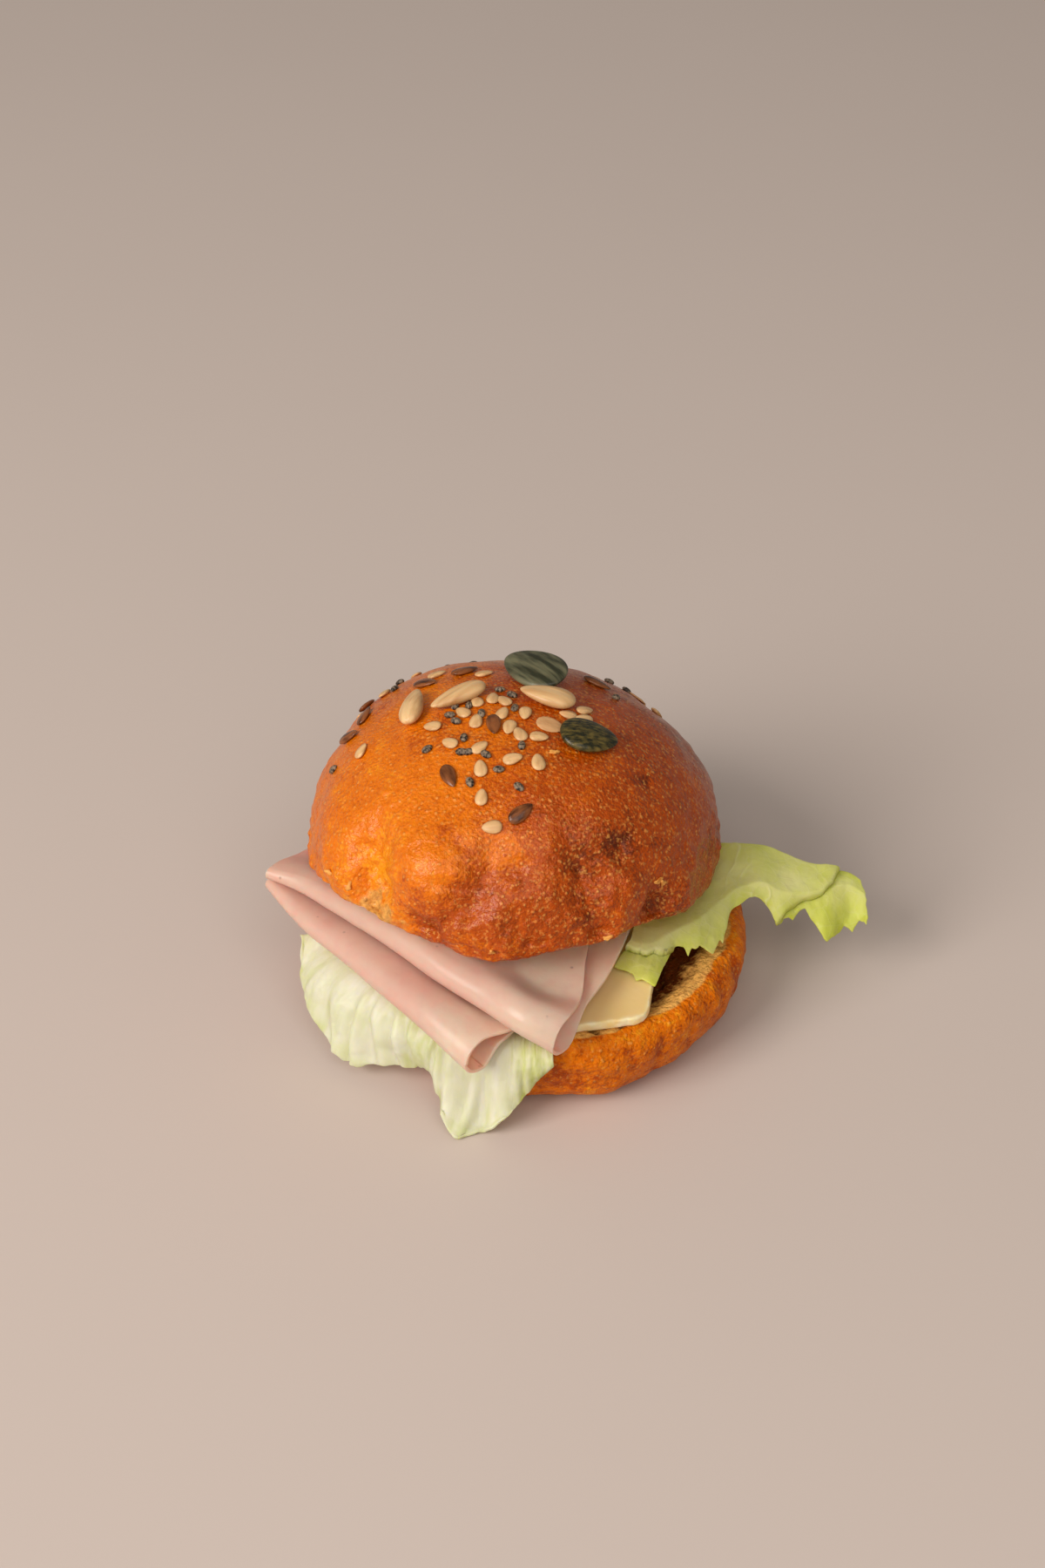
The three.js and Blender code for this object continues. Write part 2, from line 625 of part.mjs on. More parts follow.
const sandwich = new THREE.Group();
sandwich.add(heel, cheese, frontLeaf, lowerHam, upperHam, sideLeaf, crownFrame);

export default sandwich;
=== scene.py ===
"""Brioche sandwich: the visible model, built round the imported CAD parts.

Every piece is a surface of two parameters, worked out in millimetres as whole arrays and put into
its mesh in metres. The shapes follow the CAD part's own formulas, with finer divisions and with
the relief that bread, ham and leaves have.
"""

import logging
import math
from dataclasses import dataclass
from enum import Enum
from typing import ClassVar, NamedTuple

import bpy
import numpy as np
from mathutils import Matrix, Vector
from mathutils.bvhtree import BVHTree

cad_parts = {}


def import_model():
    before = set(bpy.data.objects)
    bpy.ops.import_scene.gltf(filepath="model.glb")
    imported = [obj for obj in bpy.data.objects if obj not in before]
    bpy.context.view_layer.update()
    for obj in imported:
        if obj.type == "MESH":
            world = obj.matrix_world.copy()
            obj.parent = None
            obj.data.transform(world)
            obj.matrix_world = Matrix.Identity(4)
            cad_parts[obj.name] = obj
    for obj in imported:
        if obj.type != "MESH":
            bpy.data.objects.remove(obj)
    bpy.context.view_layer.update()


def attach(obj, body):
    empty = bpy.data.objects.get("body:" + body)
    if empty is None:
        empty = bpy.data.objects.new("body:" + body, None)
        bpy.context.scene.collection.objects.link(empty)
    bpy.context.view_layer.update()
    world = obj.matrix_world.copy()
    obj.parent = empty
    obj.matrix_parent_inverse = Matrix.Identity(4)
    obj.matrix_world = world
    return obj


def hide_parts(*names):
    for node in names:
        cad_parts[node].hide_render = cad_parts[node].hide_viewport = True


Array = np.ndarray
Socket = bpy.types.NodeSocket
Feed = Socket | float | tuple[float, ...]  # what an input of a node gets
Rows = tuple[tuple[float, ...], ...]  # a table, whose comment says what is in its columns
LOG = logging.getLogger("brioche_sandwich")
MM = 0.001  # metres
QUARTER = math.radians(90.0)
RIM_MM = 0.3  # how far in from its rim a sheet is rounded off
LATTICE_START = 51.7  # keeps the noise's lattice off the sandwich's own planes
TINY = 1e-12  # keeps what is divided by from being 0


# --- Small mathematics ---


def smoothstep(value: Array, low: float, high: float) -> Array:
    """Rises smoothly from 0 at low to 1 at high: t * t * (3 - 2 t)."""
    share = np.clip((value - low) / (high - low), 0.0, 1.0)
    return share * share * (3.0 - 2.0 * share)


def bell(distance: Array, spread: float) -> Array:
    """A bell curve of height 1: exp(-distance^2 / (2 spread^2))."""
    return np.exp(-0.5 * (distance / spread) ** 2)


def between(values: Array, share: Array) -> Array:
    """Values on a smooth curve through a list of stations, by Catmull and Rom's cubic.

    Args:
        values: one row per station.
        share: places along the list, 0 at its first station and 1 at its last.

    Returns:
        One row per place.
    """
    values = np.asarray(values, dtype=float)
    place = np.clip(share, 0.0, 1.0) * (len(values) - 1)
    start = np.minimum(place.astype(int), len(values) - 2)
    before, base, after, beyond = (
        values[np.clip(start + step, 0, len(values) - 1)] for step in (-1, 0, 1, 2)
    )
    t = (place - start).reshape(place.shape + (1,) * (values.ndim - 1))
    bend = 2 * before - 5 * base + 4 * after - beyond
    twist = 3 * (base - after) + beyond - before
    return base + 0.5 * t * (after - before + t * (bend + t * twist))


def noise(points: Array, cell: float, seed: int, octaves: int = 1) -> Array:
    """Smooth noise: random numbers on a cubic lattice, blended between its corners by smoothstep.

    Args:
        points: places, in millimetres.
        cell: the lattice's cell, in millimetres.
        seed: picks the random numbers.
        octaves: layers, each with half the cell and half the height of the one before.

    Returns:
        One number per place, about -1 to 1.
    """
    size = 32
    table = np.random.default_rng(seed).uniform(-1.0, 1.0, (size, size, size))
    total = np.zeros(points.shape[:-1])
    for octave in range(octaves):
        place = points / cell * 2**octave + LATTICE_START
        corner = np.floor(place).astype(int)
        blend = smoothstep(place - corner, 0.0, 1.0)
        for offset in np.ndindex(2, 2, 2):
            weight = np.prod(np.where(np.array(offset) == 1, blend, 1.0 - blend), axis=-1)
            index = (corner + offset) % size
            total += 0.5**octave * weight * table[index[..., 0], index[..., 1], index[..., 2]]
    return total


def turn_from(bearing: Array, slope: Array, spot_bearing: float, spot_slope: float) -> Array:
    """The turn from a spot to other directions, by the cosine rule.

    Args:
        bearing: degrees round the pole's axis.
        slope: degrees from the pole.
        spot_bearing: the spot's bearing.
        spot_slope: the spot's slope.

    Returns:
        Degrees between each direction and the spot.
    """
    turn, lean, spot_lean = np.radians(bearing - spot_bearing), np.radians(slope), np.radians(spot_slope)
    cosine = np.cos(lean) * np.cos(spot_lean) + np.sin(lean) * np.sin(spot_lean) * np.cos(turn)
    return np.degrees(np.arccos(np.clip(cosine, -1.0, 1.0)))


def spots(bearing: Array, slope: Array, rows: Rows) -> Array:
    """The sum of round bells on a dome.

    Args:
        bearing: degrees round its axis.
        slope: degrees from its pole.
        rows: for each bell its bearing, slope, height and spread in degrees.

    Returns:
        One number per direction.
    """
    return sum(size * bell(turn_from(bearing, slope, at, lean), spread) for at, lean, size, spread in rows)


def bearing_gap(bearing: Array, spot: float) -> Array:
    """Degrees from a spot's bearing to others, the short way round: from -180 to 180."""
    return (bearing - spot + 540.0) % 360.0 - 180.0


def around(bearing: Array, radius: Array, height: Array) -> Array:
    """Points at a bearing in degrees, a radius from the upright axis and a height."""
    turn = np.radians(bearing)
    return np.stack(np.broadcast_arrays(radius * np.cos(turn), radius * np.sin(turn), height), axis=-1)


def side_distance(x: Array, y: Array, line: Rows) -> Array:
    """Distance of places from a line, by the nearest of its straight pieces.

    Args:
        x: places along X.
        y: places along Y.
        line: the line's points.

    Returns:
        One distance per place, positive on the line's right and negative on its left.
    """
    best = np.full(x.shape, np.inf)
    signed = np.zeros(x.shape)
    for (start_x, start_y), (end_x, end_y) in zip(line, line[1:]):
        along_x, along_y = end_x - start_x, end_y - start_y
        share = ((x - start_x) * along_x + (y - start_y) * along_y) / (along_x**2 + along_y**2)
        share = np.clip(share, 0.0, 1.0)
        gap_x, gap_y = x - start_x - share * along_x, y - start_y - share * along_y
        distance = np.hypot(gap_x, gap_y)
        side = np.where(along_x * gap_y - along_y * gap_x > 0.0, -1.0, 1.0)
        signed = np.where(distance < best, side * distance, signed)
        best = np.minimum(distance, best)
    return signed


def ring_grid(stops: tuple[float, ...], counts: tuple[int, ...], columns: int) -> list[Array]:
    """A grid of rings, from one pole of a shape to the other.

    Args:
        stops: shares of the way at which its stretches meet.
        counts: how many rings each stretch has, evenly spread.
        columns: how many points each ring has.

    Returns:
        The share of the way and the bearing, in degrees, of each point.
    """
    last = len(counts) - 1
    rows = np.concatenate([
        np.linspace(stops[i], stops[i + 1], count, endpoint=i == last) for i, count in enumerate(counts)
    ])
    return np.meshgrid(rows, np.linspace(-180.0, 180.0, columns, endpoint=False), indexing="ij")


def fine_ends(count: int, extra: int, reach: float) -> Array:
    """Even shares from 0 to 1, with a few more lines close to both ends, for a rounded rim.

    Args:
        count: how many even lines there are.
        extra: how many more lie at each end.
        reach: the share that those cover.

    Returns:
        The shares.
    """
    start = reach * np.linspace(0.0, 1.0, extra + 1) ** 2
    return np.concatenate([start[:-1], np.linspace(reach, 1.0 - reach, count), 1.0 - start[-2::-1]])


def rounded_sheet(u: Array, v: Array, length: float, width: float, thickness: float) -> Array:
    """Half the thickness of a sheet whose rim is rounded off: sqrt(1 - (1 - distance)^2) there.

    Args:
        u: shares of its length.
        v: shares of its width.
        length: millimetres along it.
        width: millimetres across it.
        thickness: its whole thickness inside the rim.

    Returns:
        Half the thickness at each place.
    """
    rim = np.minimum(np.minimum(u, 1.0 - u) * length, np.minimum(v, 1.0 - v) * width)
    return 0.5 * thickness * np.sqrt(1.0 - (1.0 - np.minimum(rim / RIM_MM, 1.0)) ** 2)


# --- Meshes ---


@dataclass(frozen=True)
class Shell:
    """A closed skin: its points in millimetres, its four-sided and three-sided faces, and numbers
    that its finish reads at each point."""

    points: Array
    quads: Array
    triangles: Array
    marks: dict[str, Array]

    @classmethod
    def from_rings(cls, grid: Array, marks: dict[str, Array]) -> "Shell":
        """Closes a grid of rings, whose first and last rows are poles.

        Args:
            grid: rows of points, each a ring round the shape.
            marks: numbers on the same grid.

        Returns:
            The shell, with each pole one point.
        """
        rows, columns = grid.shape[:2]
        ring = 1 + np.arange((rows - 2) * columns).reshape(rows - 2, columns)
        after = np.roll(ring, -1, axis=1)
        last = 1 + ring.size
        quads = np.stack([ring[:-1], ring[1:], after[1:], after[:-1]], axis=-1).reshape(-1, 4)
        top = np.stack([np.zeros(columns, int), ring[0], after[0]], axis=-1)
        bottom = np.stack([np.full(columns, last), after[-1], ring[-1]], axis=-1)
        packed = {name: cls._with_poles(value[..., None])[:, 0] for name, value in marks.items()}
        return cls(cls._with_poles(grid), quads, np.concatenate([top, bottom]), packed)

    @classmethod
    def from_sheet(cls, middle: Array, half: Array, marks: dict[str, Array]) -> "Shell":
        """Gives a sheet its thickness: both faces lie half the thickness off the middle surface,
        along its normal, and share the points of the rim.

        Args:
            middle: rows of points on the middle surface.
            half: half the thickness at each point, which the rim's own points ignore.
            marks: numbers on the same grid.

        Returns:
            The shell.
        """
        rows, columns = middle.shape[:2]
        normal = np.cross(np.gradient(middle, axis=1), np.gradient(middle, axis=0))
        normal /= np.linalg.norm(normal, axis=-1, keepdims=True) + TINY
        inner = np.zeros((rows, columns), bool)
        inner[1:-1, 1:-1] = True
        offset = normal * (half * inner)[..., None]
        upper = np.arange(rows * columns).reshape(rows, columns)
        lower = upper.copy()
        lower[inner] = rows * columns + np.arange(inner.sum())
        quads = [
            np.stack([side[:-1, :-1], side[:-1, 1:], side[1:, 1:], side[1:, :-1]], -1).reshape(-1, 4)
            for side in (upper, lower[:, ::-1])
        ]
        points = np.concatenate([(middle + offset).reshape(-1, 3), (middle - offset)[inner]])
        packed = {name: np.concatenate([value.ravel(), value[inner]]) for name, value in marks.items()}
        return cls(points, np.concatenate(quads), np.zeros((0, 3), int), packed)

    @classmethod
    def joined(cls, shells: list["Shell"]) -> "Shell":
        """Puts several shells into one.

        Args:
            shells: the shells, all with the same marks.

        Returns:
            The one shell.
        """
        starts = np.cumsum([0] + [len(shell.points) for shell in shells[:-1]])
        quads, triangles = (
            np.concatenate([getattr(shell, kind) + start for shell, start in zip(shells, starts)])
            for kind in ("quads", "triangles")
        )
        marks = {name: np.concatenate([shell.marks[name] for shell in shells]) for name in shells[0].marks}
        return cls(np.concatenate([shell.points for shell in shells]), quads, triangles, marks)

    @staticmethod
    def _with_poles(grid: Array) -> Array:
        """Flattens a grid of rings, keeping one point of its first row and one of its last."""
        return np.concatenate([grid[0, :1], grid[1:-1].reshape(-1, grid.shape[-1]), grid[-1, -1:]])

    def moved(self, turn: Array, place: Array) -> "Shell":
        """The shell turned by a matrix and then carried to a place."""
        return Shell(self.points @ turn.T + place, self.quads, self.triangles, self.marks)

    def _faces_out(self) -> bool:
        """Whether the faces point outwards, by the sign of the volume that they enclose.

        Returns:
            True if they do.
        """
        corners = np.concatenate([self.quads[:, [0, 1, 2]], self.quads[:, [0, 2, 3]], self.triangles])
        a, b, c = (self.points[corners[:, i]] for i in range(3))
        return float(np.sum(a * np.cross(b, c))) > 0.0

    def build(self, name: str, finish: "Finish", slot: str, node: str | None = None) -> bpy.types.Object:
        """Puts the shell into a mesh object that rides on the sandwich.

        Args:
            name: the piece's name.
            finish: what its surface is made of.
            slot: a material slot's name; not used.
            node: the CAD node that it stands for, if any.

        Returns:
            The new object, at the origin, with its place in its mesh.
        """
        order = slice(None) if self._faces_out() else slice(None, None, -1)
        corners = np.concatenate([self.quads[:, order].ravel(), self.triangles[:, order].ravel()])
        sides = np.concatenate([np.full(len(self.quads), 4), np.full(len(self.triangles), 3)])
        mesh = bpy.data.meshes.new(name)
        mesh.vertices.add(len(self.points))
        mesh.vertices.foreach_set("co", (self.points * MM).astype(np.float32).ravel())
        mesh.loops.add(len(corners))
        mesh.loops.foreach_set("vertex_index", corners.astype(np.int32))
        mesh.polygons.add(len(sides))
        mesh.polygons.foreach_set("loop_start", (np.cumsum(sides) - sides).astype(np.int32))
        mesh.polygons.foreach_set("use_smooth", np.ones(len(sides), bool))
        for mark, values in self.marks.items():
            mesh.attributes.new(mark, "FLOAT", "POINT").data.foreach_set("value", values.astype(np.float32))
        mesh.update(calc_edges=True)
        mesh.materials.append(finish.material())
        piece = bpy.data.objects.new(name, mesh)
        bpy.context.scene.collection.objects.link(piece)
        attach(piece, "root")
        if node:
            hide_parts(node)
        LOG.info("%s: %d points, %d faces", name, len(self.points), len(sides))
        return piece


# --- Finishes ---


def linear(code: str) -> tuple[float, float, float, float]:
    """An sRGB hex colour, such as #c8781e, as linear red, green, blue and alpha."""
    parts = [int(code[i : i + 2], 16) / 255.0 for i in (1, 3, 5)]
    return (*(p / 12.92 if p <= 0.04045 else ((p + 0.055) / 1.055) ** 2.4 for p in parts), 1.0)


def feed(tree: bpy.types.NodeTree, node: bpy.types.Node, inputs: dict[str | int, Feed]) -> None:
    """Gives a node's inputs what they need.

    Args:
        tree: the node's tree.
        node: the node.
        inputs: for each input, by name or number, a constant or the socket that feeds it.
    """
    for key, value in inputs.items():
        if isinstance(value, Socket):
            tree.links.new(value, node.inputs[key])
        else:
            node.inputs[key].default_value = value


def add(
    tree: bpy.types.NodeTree, kind: str, inputs: dict[str | int, Feed] | None = None, **settings: str | bool
) -> bpy.types.Node:
    """Adds a node to a tree.

    Args:
        tree: the tree.
        kind: the node's type.
        inputs: what its inputs get: see feed.
        settings: the node's own properties.

    Returns:
        The node.
    """
    node = tree.nodes.new(kind)
    for name, value in settings.items():
        setattr(node, name, value)
    feed(tree, node, inputs or {})
    return node


@dataclass(frozen=True)
class Pattern:
    """A material's node tree, with a short method for each kind of node that the finishes use."""

    tree: bpy.types.NodeTree
    place: Socket  # the point on the piece, in metres

    def mark(self, name: str) -> Socket:
        """The number that the piece's mesh holds under a name."""
        return add(self.tree, "ShaderNodeAttribute", attribute_name=name).outputs["Fac"]

    def math(self, operation: str, *values: Socket | float, clamp: bool = False) -> Socket:
        """An operation on two or three values, kept from 0 to 1 if it is clamped."""
        inputs = dict(enumerate(values))
        return add(self.tree, "ShaderNodeMath", inputs, operation=operation, use_clamp=clamp).outputs[0]

    def ramp(
        self, value: Socket, low: float, high: float, top: float = 1.0, kind: str = "SMOOTHSTEP"
    ) -> Socket:
        """Rises from 0, where a value is low, to top, where it is high."""
        inputs = {"Value": value, "From Min": low, "From Max": high, "To Max": top}
        return add(self.tree, "ShaderNodeMapRange", inputs, interpolation_type=kind).outputs[0]

    def mix(self, share: Socket, first: Socket | str, second: Socket | str) -> Socket:
        """A colour between two, each a socket or a hex code."""
        pair = [linear(tone) if isinstance(tone, str) else tone for tone in (first, second)]
        return add(self.tree, "ShaderNodeMix", {0: share, 6: pair[0], 7: pair[1]}, data_type="RGBA").outputs[2]

    def patches(
        self, grain_mm: float, low: float, high: float, detail: float = 3.0, place: Socket | None = None
    ) -> Socket:
        """Soft random patches of a real size.

        Args:
            grain_mm: how large one patch is, in millimetres.
            low: the value where the pattern is darkest.
            high: the value where it is brightest.
            detail: how many finer layers it has.
            place: where it is read, if that isn't the point on the piece.

        Returns:
            The socket with the value.
        """
        where = self.place if place is None else place
        scale = 0.5 / (grain_mm * MM)
        pattern = add(self.tree, "ShaderNodeTexNoise", {"Vector": where, "Scale": scale, "Detail": detail})
        spread = {"Value": pattern.outputs[0], "From Min": 0.3, "From Max": 0.7, "To Min": low, "To Max": high}
        return add(self.tree, "ShaderNodeMapRange", spread).outputs[0]

    def cells(self, gap_mm: float, place: Socket | None = None, feature: str = "F1") -> bpy.types.Node:
        """Random cells a real distance apart, as the node that makes them."""
        inputs = {"Vector": self.place if place is None else place, "Scale": 1.0 / (gap_mm * MM)}
        return add(self.tree, "ShaderNodeTexVoronoi", inputs, feature=feature)

    def flat(self, x: Socket, y: Socket) -> Socket:
        """A point from its X and Y."""
        return add(self.tree, "ShaderNodeCombineXYZ", {"X": x, "Y": y}).outputs[0]

    def carried(self, vector: Socket, scale: float, start: Socket) -> Socket:
        """A vector times a number, plus another vector."""
        inputs = {0: vector, 1: (scale, scale, scale), 2: start}
        return add(self.tree, "ShaderNodeVectorMath", inputs, operation="MULTIPLY_ADD").outputs[0]

    def bump(self, height: Socket, strength: float, depth_mm: float, **over: Socket) -> Socket:
        """The surface's normal under a relief of a real depth, over another Normal if it has one."""
        inputs = {"Strength": strength, "Distance": depth_mm * MM, "Height": height, **over}
        return add(self.tree, "ShaderNodeBump", inputs).outputs[0]


@dataclass(frozen=True)
class Finish:
    """A surface's material. Each kind says what its Principled shader is fed with."""

    name: str
    glow: ClassVar[float] = 0.0  # share of the light that comes through from behind

    def material(self) -> bpy.types.Material:
        """Builds the material, or finds it if another piece has it already. Where the piece glows,
        light in its own colour shines through it from behind.

        Returns:
            The material.
        """
        known = bpy.data.materials.get(self.name)
        if known:
            return known
        material = bpy.data.materials.new(self.name)
        material.use_nodes = True
        tree = material.node_tree
        tree.nodes.clear()
        looks = self.looks(Pattern(tree, add(tree, "ShaderNodeTexCoord").outputs["Object"]))
        surface = add(tree, "ShaderNodeBsdfPrincipled", looks).outputs[0]
        if self.glow:
            through = add(tree, "ShaderNodeBsdfTranslucent", {"Color": looks["Base Color"]}).outputs[0]
            surface = add(tree, "ShaderNodeMixShader", {0: self.glow, 1: surface, 2: through}).outputs[0]
        add(tree, "ShaderNodeOutputMaterial", {"Surface": surface})
        return material

    def looks(self, pattern: Pattern) -> dict[str, Feed]:
        """What the shader's inputs get, by name: constants, and sockets of the finish's pattern."""
        raise NotImplementedError


@dataclass(frozen=True)
class Bread(Finish):
    """Brioche: enriched dough with an egg-washed, oven-browned crust, and torn crumb where it is
    cut. The eye sees a caramel skin of fine blisters with a soft gloss. Its marks paint shade into
    its dents and the crumb's hollows, and light onto some ridges and the heel's low side."""

    crumb_pale: str = "#eeb25c"
    # the crumb's darker tone: for its random spots, and as painted shade in its cavities
    crumb_deep_and_shade: str = "#5a2406"
    straw: str = "#ec9414"
    bakes: tuple[tuple[str, float, float], ...] = (  # gold, caramel and brown, over which values of bake and painted light and shade
        ("#d96c00", 0.0, 0.34), ("#aa4200", 0.34, 0.68), ("#5a1a00", 0.68, 1.1),
    )
    uneven: Rows = ((7.0, 0.08), (1.6, 0.1), (0.3, 0.13))  # size in mm and depth
    blister: str = "#e8a04c"
    sheen: str = "#ffb070"
    roughness: float = 0.36
    coat: float = 0.34
    blister_mm: float = 0.95  # from one blister to the next
    fleck_mm: float = 0.36
    spot_mm: float = 0.45
    pore_mm: float = 1.5
    grain_mm: float = 0.3
    relief_mm: float = 0.34

    def looks(self, pattern: Pattern) -> dict[str, Feed]:
        """Tones by a mark that holds the bake with painted light and shade, under blisters and flecks,
        with crumb by its mark, darker by random spots and by painted shade in its cavities.
        """
        bake_light_and_shade, crumb = pattern.mark("bake_light_and_shade"), pattern.mark("crumb")
        for grain, depth in self.uneven:
            bake_light_and_shade = pattern.math("ADD", bake_light_and_shade, pattern.patches(grain, -depth, depth))
        colour = self.straw
        for tone, low, high in self.bakes:
            colour = pattern.mix(pattern.ramp(bake_light_and_shade, low, high), colour, tone)
        cells = pattern.cells(self.blister_mm)
        chosen = pattern.ramp(cells.outputs["Color"], 0.35, 0.8, kind="LINEAR")
        dot = pattern.math("MULTIPLY", pattern.ramp(cells.outputs["Distance"], 0.42, 0.16), chosen)
        colour = pattern.mix(pattern.math("MULTIPLY", dot, 0.5), colour, self.blister)
        fleck = pattern.ramp(pattern.patches(self.fleck_mm, 0.0, 1.0), 0.62, 0.95, 0.5)
        colour = pattern.mix(pattern.math("MULTIPLY", fleck, bake_light_and_shade, clamp=True), colour, self.blister)
        spots = pattern.patches(self.spot_mm, -0.16, 0.4)
        # The crumb's deep tone by random spots and by the painted shade of its cavities.
        deep = pattern.math("ADD", pattern.mark("cavity_shade"), spots, clamp=True)
        colour = pattern.mix(crumb, colour, pattern.mix(deep, self.crumb_pale, self.crumb_deep_and_shade))
        relief = pattern.math("MULTIPLY_ADD", dot, 0.7, pattern.patches(self.grain_mm, 0.0, 1.0))
        pores = pattern.math("MULTIPLY", pattern.patches(self.pore_mm, 0.0, 1.0), pattern.mark("coarse"))
        rough = pattern.patches(0.9, self.roughness - 0.08, self.roughness + 0.1)
        return {
            "Base Color": colour,
            "Roughness": pattern.math("MULTIPLY_ADD", crumb, 0.45, rough, clamp=True),
            "Normal": pattern.bump(pores, 0.7, self.relief_mm, Normal=pattern.bump(relief, 0.7, 0.26)),
            "Coat Normal": pattern.bump(relief, 0.35, 0.2),
            "Coat Weight": self.coat,
            "Coat Roughness": 0.2,
            "IOR": 1.45,
            "Specular IOR Level": 0.45,
            "Specular Tint": linear(self.sheen),
            "Subsurface Weight": 0.08,
            "Subsurface Radius": (1.0, 0.35, 0.1),
            "Subsurface Scale": 1.2 * MM,
        }


@dataclass(frozen=True)
class Ham(Finish):
    """Cooked ham, pressed and machine sliced: moist, even and slightly translucent, so that folds
    glow, with a faint grain and a few small dark specks."""

    pale: str = "#fbd9c0"
    pink: str = "#f9c3ae"
    deep: str = "#ee948a"
    speck: str = "#8d5f5a"
    cloud_mm: float = 9.0
    fibre_mm: float = 1.1
    speck_mm: float = 4.5  # from one speck to the next
    glow: ClassVar[float] = 0.2

    def looks(self, pattern: Pattern) -> dict[str, Feed]:
        """Pink clouds on a pale body, a deeper grain, and more of the deep tone by a mark: a little
        everywhere, more as painted shade where the crown lies close over the ham, less as painted
        light towards the plies' right end; and specks.
        """
        colour = pattern.mix(pattern.patches(self.cloud_mm, 0.25, 1.0), self.pale, self.pink)
        for share in (pattern.patches(self.fibre_mm, -0.1, 0.14), pattern.mark("blush")):
            colour = pattern.mix(share, colour, self.deep)
        speck = pattern.ramp(pattern.cells(self.speck_mm).outputs["Distance"], 0.09, 0.03, 0.5, "LINEAR")
        return {
            "Base Color": pattern.mix(speck, colour, self.speck),
            "Roughness": pattern.patches(2.5, 0.28, 0.42),
            "Normal": pattern.bump(pattern.patches(0.7, 0.0, 1.0, detail=4.0), 0.35, 0.05),
            "Coat Weight": 0.15,
            "Coat Roughness": 0.22,
            "IOR": 1.4,
            "Subsurface Weight": 0.9,
            "Subsurface Radius": (1.0, 0.36, 0.26),
            "Subsurface Scale": 3.4 * MM,
        }


@dataclass(frozen=True)
class Cheese(Finish):
    """Semi-hard cheese, cut from a block: smooth, waxy and translucent, paler in patches along its
    edge, where it is chipped and where a painted highlight runs along the arris.
    """

    body: str = "#f0d08a"
    pale: str = "#f8e8bc"

    def looks(self, pattern: Pattern) -> dict[str, Feed]:
        """The paler tone in wide clouds, and in small patches along the edge by the side mark: chips and
        a painted highlight.
        """
        chips_and_highlight = pattern.math("MULTIPLY", pattern.mark("side"), pattern.patches(1.2, -0.2, 1.0))
        share = pattern.math("ADD", chips_and_highlight, pattern.patches(5.0, 0.0, 0.25))
        return {
            "Base Color": pattern.mix(share, self.body, self.pale),
            "Roughness": pattern.patches(2.0, 0.3, 0.44),
            "Normal": pattern.bump(pattern.patches(0.9, 0.0, 1.0), 0.3, 0.06),
            "IOR": 1.44,
            "Subsurface Weight": 0.45,
            "Subsurface Radius": (1.0, 0.7, 0.3),
            "Subsurface Scale": 1.8 * MM,
        }


@dataclass(frozen=True)
class Leaf(Finish):
    """Crisp lettuce: a thin watery blade that lets light through, with paler ribs and fine veins.
    Its marks tell where the blade is green, with painted shade under the side leaf's overhangs,
    and where a rib runs."""

    green: str
    pale: str
    rib: str
    vein: float  # how much of the ribs' colour the fine veins have
    streak: float  # how much of the ribs' colour the fine crinkles have
    vein_mm: float = 3.2  # from one vein of the net to the next
    wander_mm: float = 3.2  # how far the veins wander
    crinkle_mm: float = 0.75
    glow: ClassVar[float] = 0.35

    def looks(self, pattern: Pattern) -> dict[str, Feed]:
        """Green by its mark, under ribs, a wandering net of veins and crinkles along the blade."""
        green = pattern.math("ADD", pattern.mark("green"), pattern.patches(3.0, -0.16, 0.16), clamp=True)
        loose = add(pattern.tree, "ShaderNodeTexNoise", {"Vector": pattern.place, "Scale": 0.5 / (2.0 * MM)})
        bent = pattern.carried(loose.outputs["Color"], self.wander_mm * MM, pattern.place)
        net = pattern.cells(self.vein_mm, bent, "DISTANCE_TO_EDGE").outputs["Distance"]
        vein = pattern.ramp(net, 0.12, 0.0, self.vein, "LINEAR")
        lying = pattern.flat(pattern.mark("across"), pattern.math("MULTIPLY", pattern.mark("along"), 0.16))
        crinkle = pattern.patches(self.crinkle_mm, 0.0, self.streak, 2.0, lying)
        lines = pattern.math("MAXIMUM", pattern.math("MAXIMUM", pattern.mark("rib"), vein), crinkle)
        height = pattern.math("ADD", lines, pattern.patches(1.1, 0.0, 0.5))
        return {
            "Base Color": pattern.mix(lines, pattern.mix(green, self.pale, self.green), self.rib),
            "Roughness": pattern.patches(1.8, 0.3, 0.48),
            "Normal": pattern.bump(height, 0.7, 0.22),
            "IOR": 1.38,
            "Subsurface Weight": 0.5,
            "Subsurface Radius": (0.8, 1.0, 0.3),
            "Subsurface Scale": 1.5 * MM,
        }


@dataclass(frozen=True)
class Seed(Finish):
    """A dry seed's skin: two tones in patches of a real size, with a light natural wax."""

    base: str
    patch: str
    patch_mm: float
    contrast: float
    roughness: float
    edge_tone: float = 0.35  # how much of the patch colour its outline has
    streak: float = 0.3  # how much slower the pattern changes along the seed than across it

    def looks(self, pattern: Pattern) -> dict[str, Feed]:
        """Streaks along the seed, and the patch tone along its outline by the edge mark."""
        slow = pattern.math("MULTIPLY", pattern.mark("along"), self.streak)
        streaks = pattern.carried(pattern.place, 0.25, pattern.flat(slow, pattern.mark("across")))
        share = pattern.patches(self.patch_mm, -0.2, self.contrast, place=streaks)
        share = pattern.math("MULTIPLY_ADD", pattern.mark("edge"), self.edge_tone, share, clamp=True)
        height = pattern.patches(0.5 * self.patch_mm, 0.0, 1.0, place=streaks)
        return {
            "Base Color": pattern.mix(share, self.base, self.patch),
            "Roughness": self.roughness,
            "Normal": pattern.bump(height, 0.5, 0.08),
            "Specular IOR Level": 0.35,
            "Subsurface Weight": 0.1,
            "Subsurface Scale": 0.6 * MM,
        }


